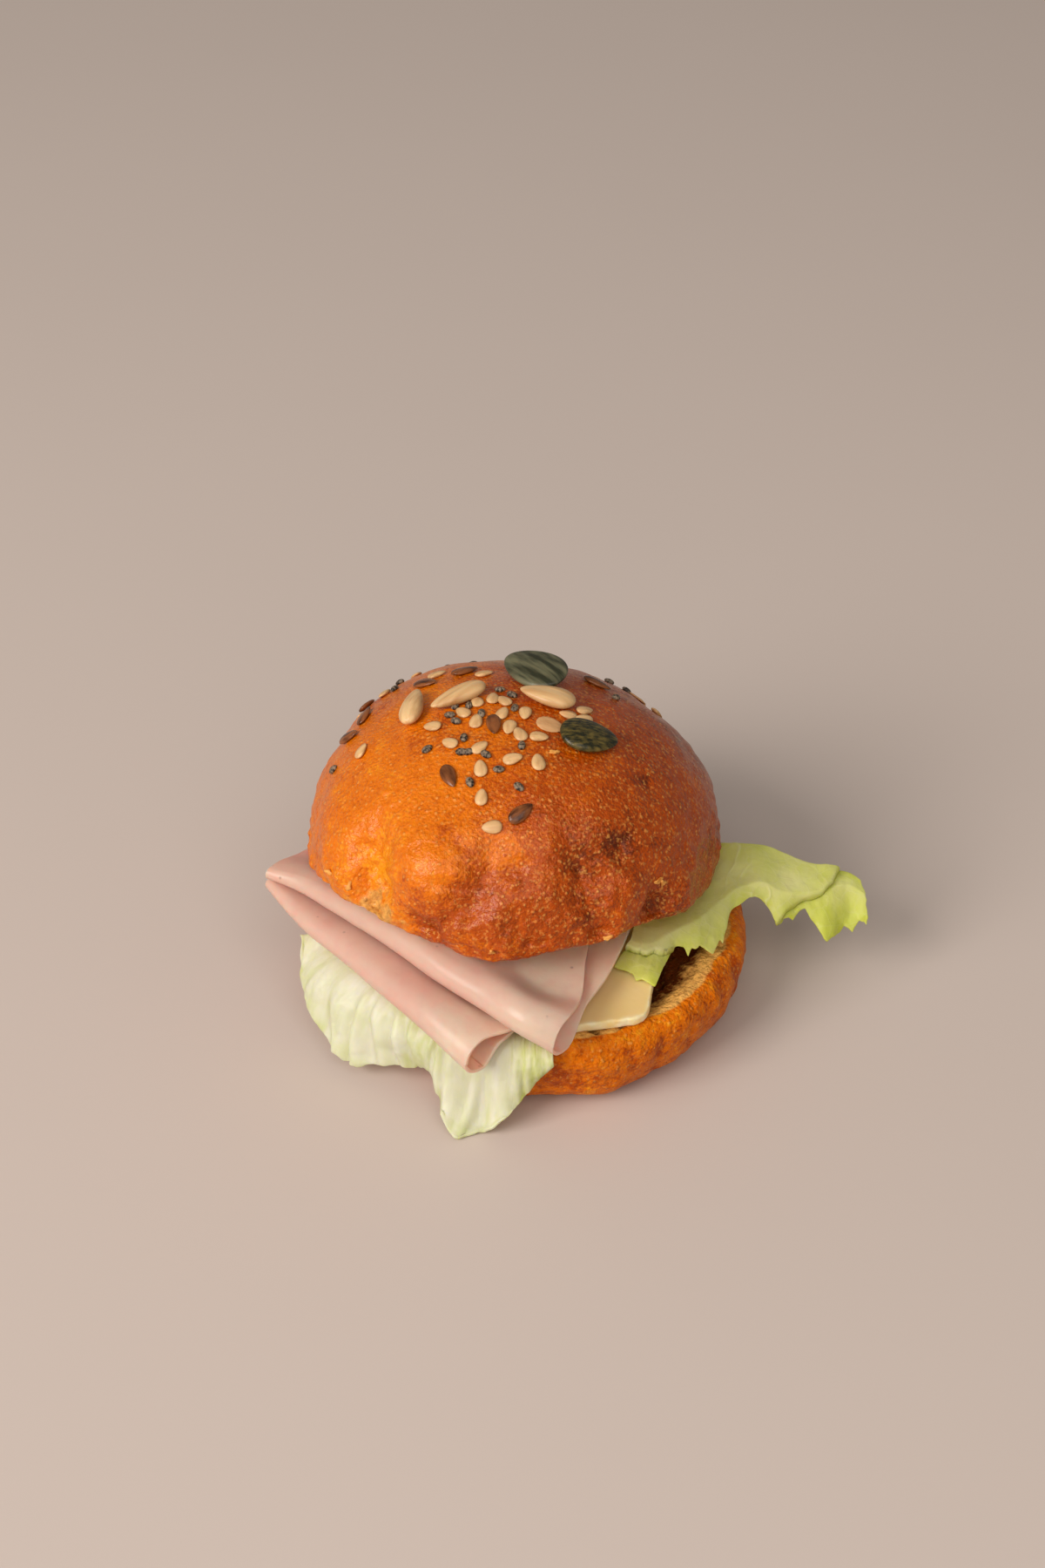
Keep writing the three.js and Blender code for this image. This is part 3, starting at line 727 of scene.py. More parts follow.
@dataclass(frozen=True)
class Board(Finish):
    """Matte painted board under the sandwich: plain, with a trace of unevenness."""

    tone: str = "#cbbbb0"
    shade: str = "#b5a498"

    def looks(self, pattern: Pattern) -> dict[str, Feed]:
        """Two close tones in wide soft patches."""
        return {
            "Base Color": pattern.mix(pattern.patches(60.0, 0.0, 0.05), self.tone, self.shade),
            "Roughness": 0.75,
        }


# --- The roll ---


@dataclass(frozen=True)
class Crease:
    """A long dent or ridge of the dough: its middle, its height, its width and length as spreads
    in degrees, and how far it turns from running straight down the crown."""

    bearing: float
    slope: float
    swell: float
    width: float
    length: float
    turn: float = 0.0

    def height(self, bearing: Array, slope: Array) -> Array:
        """Its height: the product of a bell across it and a bell along it.

        Args:
            bearing: degrees round the crown's axis.
            slope: degrees from its pole.

        Returns:
            Millimetres outwards.
        """
        aside = bearing_gap(bearing, self.bearing) * np.sin(np.radians(np.clip(slope, 8.0, 90.0)))
        down = slope - self.slope
        turn = math.radians(self.turn)
        across = aside * math.cos(turn) - down * math.sin(turn)
        along = aside * math.sin(turn) + down * math.cos(turn)
        return self.swell * bell(across, self.width) * bell(along, self.length)


@dataclass(frozen=True)
class Crown:
    """The roll's upper half: a dome on a level that leans back, its lip and its cut face."""

    centre: tuple[float, float, float] = (-5.8, 7.5, 29.4)
    lean: float = 8.0  # degrees, backwards
    roll: float = 1.5  # degrees, down to the right
    radius: float = 38.2
    rise: float = 30.6
    cut_radius: float = 36.6
    tuck: float = 2.2
    swellings: Rows = (  # bearing, slope, height and spread
        (-152, 74, 0.9, 13), (-133, 76, -1.5, 7), (-114, 67, 1.5, 11), (-116, 86, -0.9, 6),
        (-98, 64, -0.8, 6), (-95, 90, 1.2, 10), (-69, 68, -0.8, 7), (-47, 87, -1.3, 5),
        (-38, 91, 0.9, 6), (-54, 45, 0.5, 16), (140, 42, 1.0, 18), (-6, 64, 0.9, 17),
        (60, 80, 0.8, 14), (118, 84, 1.0, 11), (92, 85, -0.9, 7),
    )
    edge_waves: Rows = (  # bearing, drop and spread
        (-178, 1.9, 17), (-142, -2.2, 12), (-96, 1.7, 10), (-52, -1.6, 11), (-10, 2.0, 24),
    )
    creases: tuple[Crease, ...] = (
        Crease(-133, 82, -2.4, 3.6, 15, 4),  # the fold between the two left lobes
        Crease(-148, 82, 1.0, 6.0, 10),
        Crease(-115, 70, 2.0, 7.0, 9),  # the lobe that catches the light
        Crease(-101, 73, -1.1, 3.2, 9, -14),
        Crease(-113, 89, -1.3, 2.8, 5),
        Crease(-104, 90, 0.8, 3.0, 6),
        Crease(-94, 92, 0.9, 4.0, 5),
        Crease(-85, 88, -0.7, 2.4, 6),
        Crease(-88, 66, -0.7, 2.4, 3),
        Crease(-70, 70, -1.3, 3.2, 10, 6),
        Crease(-79, 62, 0.3, 5.0, 8),
        Crease(-57, 61, -1.1, 3.0, 3.4),
        Crease(-60, 78, 0.8, 4.5, 8),
        Crease(-47, 88, -1.6, 2.6, 7),
        Crease(-37, 90, 0.9, 4.5, 7),
        Crease(-37, 47, -0.5, 4.0, 4.0),
        Crease(-66, 88, -0.9, 2.6, 4, 40),
        Crease(36, 66, -0.7, 4.0, 12, 12),
        Crease(96, 70, -0.9, 4.0, 13, -8),
        Crease(168, 74, -0.8, 3.6, 11, 10),
    )
    torn_at: tuple[float, float] = (-131.0, 90.0)
    torn_spread: float = 6.0
    blisters: Rows = (  # bearing, slope and radius in degrees
        (-138.7, 53.1, 2.4), (-90.1, 67.6, 1.5), (-84.3, 72.4, 1.3), (-95.1, 81.6, 1.6), (71, 52, 2.0),
        (130, 66, 1.7),
    )
    blister_height: float = 0.22  # of the ring that is left where one broke
    blister_width: float = 0.55
    tones: Rows = (  # bearing, slope, darker by, spread; mostly painted shade in dents and low by the lip
        (-101, 70, 0.24, 4), (-107, 60, 0.1, 4), (-70, 62, 0.2, 6), (-55, 61, 0.34, 2.0),
        (-35, 46, 0.24, 2.4), (-72, 80, 0.16, 5), (-45, 87, 0.2, 5), (-93, 84, 0.3, 9),
        (-114, 84, 0.24, 8), (20, 60, 0.12, 20), (-133, 74, -0.2, 5), (-129, 87, -0.3, 5),
        (-150, 89, -0.08, 8), (-90, 64, -0.08, 5), (-122, 46, -0.12, 12), (100, 84, 0.16, 12),
        (150, 60, 0.1, 18), (64, 66, -0.1, 12),
    )
    dome_share: float = 0.66  # of the way from the pole, over the edge, to the cut face's middle
    edge_share: float = 0.78
    rings: tuple[int, int, int] = (118, 16, 44)  # on the dome, on the turn under it, on the cut
    columns: int = 440

    def frame(self) -> Array:
        """The crown's turn: its lean about X after its roll about Y."""
        lean, roll = math.radians(-self.lean), math.radians(self.roll)
        about_x = np.array([
            [1, 0, 0], [0, math.cos(lean), -math.sin(lean)], [0, math.sin(lean), math.cos(lean)],
        ])
        about_y = np.array([
            [math.cos(roll), 0, math.sin(roll)], [0, 1, 0], [-math.sin(roll), 0, math.cos(roll)],
        ])
        return about_x @ about_y

    def placed(self, local: Array) -> Array:
        """Points of the crown's own frame on the sandwich."""
        return local @ self.frame().T + np.array(self.centre)

    def edge_drop(self, bearing: Array) -> Array:
        """How far the cut edge lies under the widest level, the plain tuck and its waves."""
        waves = (drop * bell(bearing_gap(bearing, at), spread) for at, drop, spread in self.edge_waves)
        return self.tuck + sum(waves)

    def dome(self, bearing: Array, slope: Array) -> Array:
        """The smooth dome: a half ellipsoid, pushed outwards by its swellings.

        Args:
            bearing: degrees round the crown's axis.
            slope: degrees from its pole.

        Returns:
            Points in the crown's own frame.
        """
        lean = np.radians(slope)
        outward = around(bearing, np.sin(lean), np.cos(lean))
        swell = spots(bearing, slope, self.swellings)
        return outward * np.array([self.radius, self.radius, self.rise]) + outward * swell[..., None]

    def ceiling(self, x: Array, y: Array) -> Array:
        """Height of the cut face over the table: its plane, less its edge's waves.

        Args:
            x: places along X.
            y: places along Y.

        Returns:
            One height per place.
        """
        normal = self.frame()[:, 2]
        foot = self.placed(np.array([0.0, 0.0, -self.tuck]))
        plane = foot[2] - (normal[0] * (x - foot[0]) + normal[1] * (y - foot[1])) / normal[2]
        across, back = x - self.centre[0], y - self.centre[1]
        inward = np.minimum(np.hypot(across, back) / self.cut_radius, 1.0)
        return plane - (self.edge_drop(np.degrees(np.arctan2(back, across))) - self.tuck) * inward**3

    @staticmethod
    def _wander(points: Array, bearing: Array, slope: Array, share: float) -> tuple[Array, Array]:
        """Moves directions about by noise, so that what is drawn there gets irregular outlines.

        Args:
            points: places on the smooth crown.
            bearing: their bearings.
            slope: their slopes.
            share: how far they move, 1 for up to about 10 degrees.

        Returns:
            The new bearings and slopes.
        """
        bearing = bearing + share * (5.0 * noise(points, 4.0, 12, 3) + 3.0 * noise(points, 1.2, 13))
        return bearing, slope + share * (4.0 * noise(points, 4.0, 14, 3) + 2.0 * noise(points, 1.2, 15))

    def _relief(self, points: Array, bearing: Array, slope: Array) -> Array:
        """Height of the crust's unevenness: its creases and blister rings, soft dimples
        everywhere and ragged lumps towards the lip.

        Args:
            points: places on the smooth crown.
            bearing: their bearings.
            slope: their slopes, past 90 under the widest level.

        Returns:
            Millimetres outwards.
        """
        lip, low = smoothstep(slope, 64.0, 90.0), smoothstep(slope, 30.0, 75.0)
        wandered = self._wander(points, bearing, slope, 0.5)
        folds = sum(crease.height(*wandered) for crease in self.creases)
        dimples = 0.3 * noise(points, 8.0, 3, 2) + (0.05 + 0.15 * low) * noise(points, 2.6, 4, 2)
        ragged = 0.55 * noise(points, 4.2, 5, 2) + 0.42 * noise(points, 1.7, 6, 2)
        blisters = sum(
            self.blister_height * bell(turn_from(bearing, slope, at, lean) - size, self.blister_width)
            for at, lean, size in self.blisters
        )
        return folds + dimples + lip * ragged + blisters

    def _bake_light_and_shade(self, points: Array, bearing: Array, slope: Array) -> Array:
        """How dark the crust is drawn: darker to the right; darker in the dents and paler on the ridges
        of the creases, save the first, where the dough tore open, as painted shade and painted light;
        and by spots, mostly painted shade in dents and low by the lip, paler in its stretch marks.

        Args:
            points: places on the crust.
            bearing: their bearings.
            slope: their slopes.

        Returns:
            A number for each place, from 0, pale, to 1, dark.
        """
        tone = 0.35 + 0.37 * smoothstep(points[..., 0], -26.0, 22.0)
        # Darker in the dents and paler on the ridges: painted shade and painted light.
        tone = tone - 0.1 * sum(crease.height(bearing, slope) for crease in self.creases[1:])
        tone = tone + spots(*self._wander(points, bearing, slope, 1.0), self.tones)
        return tone + 0.1 * noise(points, 10.0, 8, 2)

    def surface(self) -> Shell:
        """The whole crown: the dome from its pole to the widest level, a quarter turn under it
        to the cut edge, and the crumb of the cut face in to the axis.

        Returns:
            The shell, in its place on the sandwich.
        """
        t, bearing = ring_grid((0.0, self.dome_share, self.edge_share, 1.0), self.rings, self.columns)
        slope = 90.0 * np.minimum(t / self.dome_share, 1.0)
        points = self.dome(bearing, slope)
        bulge = np.hypot(points[..., 0], points[..., 1])
        cut = self.cut_radius + 0.5 * (bulge - self.radius)
        under = QUARTER * np.clip((t - self.dome_share) / (self.edge_share - self.dome_share), 0.0, 1.0)
        inward = np.clip((1.0 - t) / (1.0 - self.edge_share), 0.0, 1.0)
        drop = self.tuck + (self.edge_drop(bearing) - self.tuck) * inward**3
        lower = around(bearing, (cut + (bulge - cut) * np.cos(under)) * inward, -drop * np.sin(under))
        points = np.where((t > self.dome_share)[..., None], lower, points)
        outward = points / (np.linalg.norm(points, axis=-1, keepdims=True) + TINY)
        crust = 1.0 - smoothstep(t, self.edge_share - 0.015, self.edge_share + 0.01)
        whole_slope = slope + np.degrees(under)
        relief = crust * self._relief(points, bearing, whole_slope)
        pores = (1.0 - crust) * (0.35 * noise(points, 1.8, 9, 2) + 0.2 * noise(points, 5.0, 10))
        points = points + outward * relief[..., None] + pores[..., None] * np.array([0.0, 0.0, 1.0])
        torn = bell(turn_from(bearing, slope, *self.torn_at), self.torn_spread)
        torn = torn * smoothstep(whole_slope, 72.0, 84.0) + 0.4 * noise(points, 1.5, 16, 3)
        torn = smoothstep(torn, 0.4, 0.75)
        marks = {
            "bake_light_and_shade": self._bake_light_and_shade(points, bearing, slope),
            "crumb": np.maximum(1.0 - crust, 0.85 * torn),
            # Painted shade in the crumb's pores and in the torn place.
            "cavity_shade": 0.25 * torn - pores,
            "coarse": 0.25 + 0.75 * smoothstep(slope, 52.0, 84.0),
        }
        return Shell.from_rings(self.placed(points), marks)


@dataclass(frozen=True)
class Heel:
    """The roll's lower half: a flat base, a full side and torn crumb on top."""

    base_radius: float = 29.0
    belly_radius: float = 38.3
    belly_height: float = 12.2
    rim_radius: float = 34.8
    height: float = 16.5
    dish_radius: float = 31.5
    dish: float = 0.4
    degree_mm: float = 0.65  # along the heel's side
    hollow: float = 3.0  # depth of the torn place beside the cheese
    hollow_bearing: float = -26.0
    hollow_radius: float = 25.5
    pleats: Rows = (  # bearing, depth, width and height
        (-57, 0.8, 0.9, 10.0), (-31, 0.9, 1.0, 12.0), (-66, 0.4, 0.8, 11.0), (-46, 0.35, 0.9, 8.0),
        (-21, 0.5, 1.0, 10.0), (18, 0.7, 1.0, 9.0), (64, 0.6, 1.2, 8.0), (117, 0.8, 1.0, 10.0),
        (161, 0.5, 1.0, 9.0),
    )
    # One lump low on the front: its bearing, height, width, level and reach up and down.
    lump: tuple[float, float, float, float, float] = (-72.0, 1.5, 4.0, 2.5, 3.0)
    # Shares of the way from the base's middle, round the side and over the crumb to the axis, at
    # which the base ends, the belly is widest and the rim ends.
    shares: tuple[float, float, float] = (0.16, 0.46, 0.76)
    rings: tuple[int, int, int] = (20, 80, 90)  # on the base, on the side and on the crumb
    columns: int = 360

    def surface(self) -> Shell:
        """Out over the base, up a quarter ellipse to the belly, in a quarter ellipse to the rim
        and in over the crumb to the axis.

        Returns:
            The shell.
        """
        base, belly, rim = self.shares
        t, bearing = ring_grid((0.0, base, rim, 1.0), self.rings, self.columns)
        low = QUARTER * np.clip((t - base) / (belly - base), 0.0, 1.0)
        high = QUARTER * np.clip((t - belly) / (rim - belly), 0.0, 1.0)
        radius = np.minimum(t / base, 1.0) * self.base_radius
        radius += (self.belly_radius - self.base_radius) * np.sin(low)
        radius -= (self.belly_radius - self.rim_radius) * (1.0 - np.cos(high))
        radius *= np.clip((1.0 - t) / (1.0 - rim), 0.0, 1.0)
        height = self.belly_height * (1.0 - np.cos(low)) + (self.height - self.belly_height) * np.sin(high)
        points = around(bearing, radius, height)
        crumb = smoothstep(t + 0.012 * noise(points, 3.0, 27, 3), rim - 0.025, rim + 0.005)
        side = smoothstep(t, 0.15, 0.22) * (1.0 - smoothstep(t, rim, rim + 0.04))
        wander = 0.6 * noise(points, 4.0, 28)
        pleats = sum(
            depth * bell(bearing_gap(bearing, at) * self.degree_mm + wander, width) * bell(height - level, 4.0)
            for at, depth, width, level in self.pleats
        )
        at, swell, width, level, rise = self.lump
        lump = swell * bell(bearing_gap(bearing, at) * self.degree_mm, width) * bell(height - level, rise)
        uneven = 0.5 * noise(points, 8.0, 21, 2) + 0.26 * noise(points, 2.2, 22, 3)
        radius = radius + side * (uneven + lump - pleats)
        hollow = 1.0 - smoothstep(np.abs(bearing_gap(bearing, self.hollow_bearing)), 20.0, 62.0)
        hollow = self.hollow * hollow * bell(radius - self.hollow_radius, 3.6)
        hollow = hollow * (1.0 + 0.5 * noise(points, 4.0, 29, 2))
        dish = self.dish * (1.0 - smoothstep(radius, self.dish_radius, self.rim_radius))
        rough = 0.5 * noise(points, 2.6, 23, 2) + 0.3 * noise(points, 1.0, 24, 2)
        holes = 1.2 * smoothstep(noise(points, 2.6, 25, 2), 0.4, 0.9) * smoothstep(radius, 20.0, 24.0)
        torn = smoothstep(t, 0.745, 0.79) * np.maximum(dish + hollow + rough + holes, -0.35)
        points = around(bearing, radius, height - torn)
        # Darker in the pleats: painted shade.
        tone = 0.42 + 0.16 * noise(points, 7.0, 26, 2) + 0.2 * noise(points, 1.5, 30, 3) + 0.3 * pleats
        # Paler at the rim's top, and paler low on the side as painted light against the table's shade.
        tone = tone - 0.12 * smoothstep(height, 14.5, 16.6) - 0.14 * smoothstep(height, 7.0, 0.0)
        # Painted shade in the crumb: the torn hollow, its holes and dents, and its middle under the filling.
        cavity_shade = 0.4 * hollow + 0.5 * holes + 0.3 * rough - 0.15
        cavity_shade = np.clip(cavity_shade + 0.4 * (1.0 - smoothstep(radius, 29.5, 33.5)), 0.0, 1.0)
        marks = {"bake_light_and_shade": tone, "crumb": crumb, "cavity_shade": cavity_shade, "coarse": np.ones(tone.shape)}
        return Shell.from_rings(points, marks)


# --- The filling ---


@dataclass(frozen=True)
class CheeseSlice:
    """One slice of cheese, a little out of square, with rounded corners and a chipped edge."""

    corners: Rows = ((-0.6, -34.8), (18.3, -31.5), (23.4, 2.0), (-7.0, 8.0))
    thickness: float = 1.9
    corner_radius: float = 3.4
    floor: float = 16.8
    chip: float = 0.35
    wave: float = 0.08
    flat_share: float = 0.965  # of the way from the middle to the edge
    flat_rings: int = 30
    edge_rings: int = 34
    corner_points: int = 12
    columns: int = 300

    def outline(self, count: int) -> Array:
        """The slice's outline, evenly divided: straight sides joined by quadratic curves.

        Args:
            count: how many points it gets.

        Returns:
            Points on the table, without the last, which is the first again.
        """
        corners = np.array(self.corners)
        places = []
        for i, corner in enumerate(corners):
            before, after = corners[i - 1] - corner, corners[(i + 1) % len(corners)] - corner
            start = corner + self.corner_radius * before / np.linalg.norm(before)
            end = corner + self.corner_radius * after / np.linalg.norm(after)
            t = np.linspace(0.0, 1.0, self.corner_points)[:, None]
            places.append((1 - t) ** 2 * start + 2 * t * (1 - t) * corner + t**2 * end)
        path = np.concatenate(places + [places[0][:1]])
        length = np.concatenate([[0.0], np.cumsum(np.linalg.norm(np.diff(path, axis=0), axis=1))])
        even = np.linspace(0.0, length[-1], count, endpoint=False)
        return np.stack([np.interp(even, length, path[:, axis]) for axis in range(2)], axis=-1)

    def surface(self) -> Shell:
        """From the middle of the underside out to the edge, round it and back over the top. The
        edge is a superellipse, |x|^4 + |z|^4 = 1, so it stays square with soft arrises.

        Returns:
            The shell.
        """
        outline = self.outline(self.columns)
        middle = outline.mean(axis=0)
        angle = np.linspace(-90.0, 90.0, self.edge_rings)
        round_x = np.cos(np.radians(angle)) ** 0.5
        round_z = np.sign(angle) * np.abs(np.sin(np.radians(angle))) ** 0.5
        flat = self.flat_share * np.linspace(0.0, 1.0, self.flat_rings, endpoint=False)
        share = np.concatenate([flat, self.flat_share + (1.0 - self.flat_share) * round_x, flat[::-1]])
        level = np.concatenate([-np.ones(len(flat)), round_z, np.ones(len(flat))])
        ring = middle + share[:, None, None] * (outline - middle)
        height = self.floor + 0.5 * self.thickness * (1.0 + level)
        points = np.concatenate([ring, np.broadcast_to(height[:, None, None], ring.shape[:2] + (1,))], axis=-1)
        edge = smoothstep(share, 0.95, 0.985)[:, None] + np.zeros(len(outline))
        chips = self.chip * np.minimum(noise(points, 1.6, 31, 2), 0.15) * edge
        outward = np.concatenate([outline - middle, np.zeros((len(outline), 1))], axis=-1)
        outward /= np.linalg.norm(outward, axis=-1, keepdims=True)
        points = points + chips[..., None] * outward
        points[..., 2] += self.wave * noise(points * np.array([1.0, 1.0, 0.0]), 9.0, 32)
        return Shell.from_rings(points, {"side": edge})


@dataclass(frozen=True)
class PlyStack:
    """How the four flat plies of ham lie between the cheese, the crumb and the crown."""

    cheese: CheeseSlice
    crown: Crown
    over_crumb: float = 17.95
    over_cheese: float = 19.05
    step_down: tuple[float, float] = (-10.0, -4.0)
    slack_share: tuple[float, ...] = (0.0, 0.15, 0.4, 1.0)
    pressed: tuple[float, float] = (0.6, 0.9)
    thickness: float = 1.0
    step: float = 1.55
    gap: float = 0.3

    @staticmethod
    def _left_of(x: Array, y: Array, start: tuple[float, float], end: tuple[float, float]) -> Array:
        """How far places lie to the left of the line from one corner to another."""
        along_x, along_y = end[0] - start[0], end[1] - start[1]
        return (along_x * (y - start[1]) - along_y * (x - start[0])) / math.hypot(along_x, along_y)

    def height(self, ply: Array, x: Array, y: Array, along: Array) -> Array:
        """Middle height of a ply, counted up from what the lowest one lies on, with its share of
        the slack under the crown.

        Args:
            ply: which ply it is, 0 to 3.
            x: places to the right.
            y: places to the back.
            along: share of the fold's length at each place.

        Returns:
            One height per place.
        """
        front_left, _, back_right, back_left = self.cheese.corners
        on_left = smoothstep(self._left_of(x, y, back_left, front_left), *self.step_down)
        on_back = smoothstep(self._left_of(x, y, back_right, back_left), *self.step_down)
        floor = self.over_crumb + (self.over_cheese - self.over_crumb) * on_left * on_back
        top = floor + self.thickness + self.step * (len(self.slack_share) - 1)
        slack = np.maximum(self.crown.ceiling(x, y) - 3 * self.gap - top, 0.0)
        share = np.array(self.slack_share)[ply] * (1.0 - smoothstep(along, *self.pressed))
        return floor + 0.5 * self.thickness + self.step * ply + slack * share


@dataclass(frozen=True)
class HamSlice:
    """A slice of ham, folded once: two flat plies and the round fold that joins them."""

    stack: PlyStack
    first_ply: int
    fold: Rows  # x, y, z and half height, left to right
    depth: float
    upper_ease: float
    lower_ease: float
    upper_edge: tuple[float, ...]
    lower_edge: tuple[float, ...]
    seed: int
    thickness: float = 0.72
    fold_front: float = 1.15
    depth_step: float = 8.0
    flat_share: float = 0.38
    back_edge: float = 0.97
    wave: float = 0.16

    def _past(self, edges: tuple[float, ...], depth: Array) -> Array:
        """How far a ply runs on past the fold's end, at a depth inwards."""
        return between(np.array(edges), depth / (self.depth_step * (len(edges) - 1)))

    def surface(self) -> Shell:
        """Along the fold by round it: flat rows, a half ellipse and flat rows again. The plies'
        back edges are round, sqrt(1 - depth^2), and they settle from the fold to the stack.

        Returns:
            The shell.
        """
        ply_rows = self.flat_share * fine_ends(62, 4, 0.01)
        fold_rows = np.linspace(self.flat_share, 1.0 - self.flat_share, 50)[1:-1]
        rows = np.concatenate([ply_rows, fold_rows, 1.0 - ply_rows[::-1]])
        v, u = np.meshgrid(rows, fine_ends(150, 5, 0.012), indexing="ij")
        upper = v <= 0.5
        share = np.where(upper, v, 1.0 - v)
        fold = between(np.array(self.fold), u)
        half = fold[..., 3]
        start, end = np.array(self.fold[0][:2]), np.array(self.fold[-1][:2])
        length = np.linalg.norm(end - start)
        along = (end - start) / length
        inward = np.array([-along[1], along[0]])
        middle = between(np.array(self.fold), np.array([0.5]))[0, :2]
        angle = QUARTER * np.maximum(share - self.flat_share, 0.0) / (0.5 - self.flat_share)
        flat = np.maximum(1.0 - share / self.flat_share, 0.0)
        inside = self.depth * self.back_edge * flat**1.4 - half * self.fold_front * np.sin(angle)
        depth = np.maximum(inside, 0.0)
        narrowing = np.sqrt(1.0 - (depth / self.depth) ** 2)
        past = np.where(upper, self._past(self.upper_edge, depth), self._past(self.lower_edge, depth))
        past = past * u**3 * narrowing**2
        level = middle + (fold[..., :2] - middle) * narrowing[..., None]
        level = level + inside[..., None] * inward + past[..., None] * along
        x, y = level[..., 0], level[..., 1]
        loop = fold[..., 2] + np.where(upper, half, -half) * np.cos(angle)
        settled = smoothstep(depth / np.where(upper, self.upper_ease, self.lower_ease), 0.0, 1.0)
        ply = np.where(upper, self.first_ply + 1, self.first_ply)
        height = self.stack.height(ply, x, y, ((level - start) @ along) / length)
        height = loop + (height - loop) * settled
        points = np.concatenate([level, height[..., None]], axis=-1)
        calm = smoothstep(np.minimum(u, 1.0 - u), 0.0, 0.06)
        points[..., 2] += calm * self.wave * noise(points, 7.0, self.seed, 2)
        half_thickness = rounded_sheet(u, v, length, 2.2 * self.depth, self.thickness)
        # Painted shade: deeper pink where the crown lies close over the ham; painted light: less of it towards
        # the right end.
        under_crown_shade = smoothstep(self.stack.crown.ceiling(x, y) - height, 9.0, 2.0) * smoothstep(depth, 2.0, 10.0)
        blush = 0.3 + 0.3 * under_crown_shade - 0.5 * smoothstep(u + 0.02 * depth, 0.7, 1.1)
        return Shell.from_sheet(points, half_thickness, {"blush": np.clip(blush, 0.0, 1.0)})


def ham_slices(stack: PlyStack) -> dict[str, HamSlice]:
    """The two slices of ham.

    Args:
        stack: what their flat plies lie in.

    Returns:
        The slices, by node.
    """
    lower_fold = (
        (-51.4, 1.5, 22.7, 0.8), (-43.9, -7.5, 21.4, 1.6), (-36.2, -15.0, 21.1, 2.1),
        (-28.2, -24.1, 21.2, 2.4), (-19.7, -33.3, 20.9, 2.8), (-10.9, -41.0, 18.8, 3.6),
    )
    upper_fold = (
        (-51.3, 0.4, 25.9, 0.8), (-44.4, -2.8, 25.9, 1.4), (-37.6, -8.6, 26.5, 1.9),
        (-30.9, -14.2, 26.8, 2.3), (-24.3, -20.3, 26.8, 2.5), (-17.4, -26.7, 26.2, 2.6),
        (-10.0, -32.4, 25.6, 2.8), (-2.8, -38.4, 25.2, 3.05), (3.7, -39.7, 22.4, 3.7),
    )
    lower = HamSlice(
        stack, 0, lower_fold, depth=52.0, upper_ease=11.0, lower_ease=4.0, seed=61,
        upper_edge=(0.3, 1.7, -0.5, -3, -4, -4, -4), lower_edge=(0, 0.4, -1, -3, -4, -4, -4),
    )
    upper = HamSlice(
        stack, 2, upper_fold, depth=56.0, upper_ease=8.0, lower_ease=9.0, seed=62,
        upper_edge=(0.4, -2.0, -6.2, -9.5, -11, -11, -11, -11),
        lower_edge=(0.2, -0.9, -1.1, -1.7, -2, -2, -2, -2),
    )
    return {"ham_slice_lower": lower, "ham_slice_upper": upper}


@dataclass(frozen=True)
class Lettuce:
    """What the leaves share: their size laid out flat, with ribs from one long edge to the other."""

    thickness: float
    size: tuple[float, float]  # millimetres along the leaf's outer edge and in from it
    rib_tone: float
    rib_swell: float

    def flat(self, u: Array, v: Array) -> Array:
        """Places of the leaf laid out flat, from its shares of length and width."""
        return np.stack([u * self.size[0], v * self.size[1], 0 * u], axis=-1)

    @staticmethod
    def ribs(phase: Array, fade: Array) -> Array:
        """Ribs where a phase is a whole number, as narrow bells, strong where the fade is 1."""
        return bell((phase + 0.5) % 1.0 - 0.5, 0.06) * fade

    def sheet(self, points: Array, half: Array, flat: Array, green: Array, rib: Array) -> Shell:
        """Gives the leaf its thickness, more along its ribs, and its marks.

        Args:
            points: the middle of the leaf.
            half: half its thickness between the ribs.
            flat: its places laid out flat.
            green: how green it is, with painted shade on the side leaf's deeper lobes.
            rib: how far a place is part of a rib.

        Returns:
            The shell.
        """
        marks = {"green": green, "rib": self.rib_tone * rib}
        marks.update(across=flat[..., 0] * MM, along=flat[..., 1] * MM)
        return Shell.from_sheet(points, half * (1.0 + self.rib_swell * rib), marks)


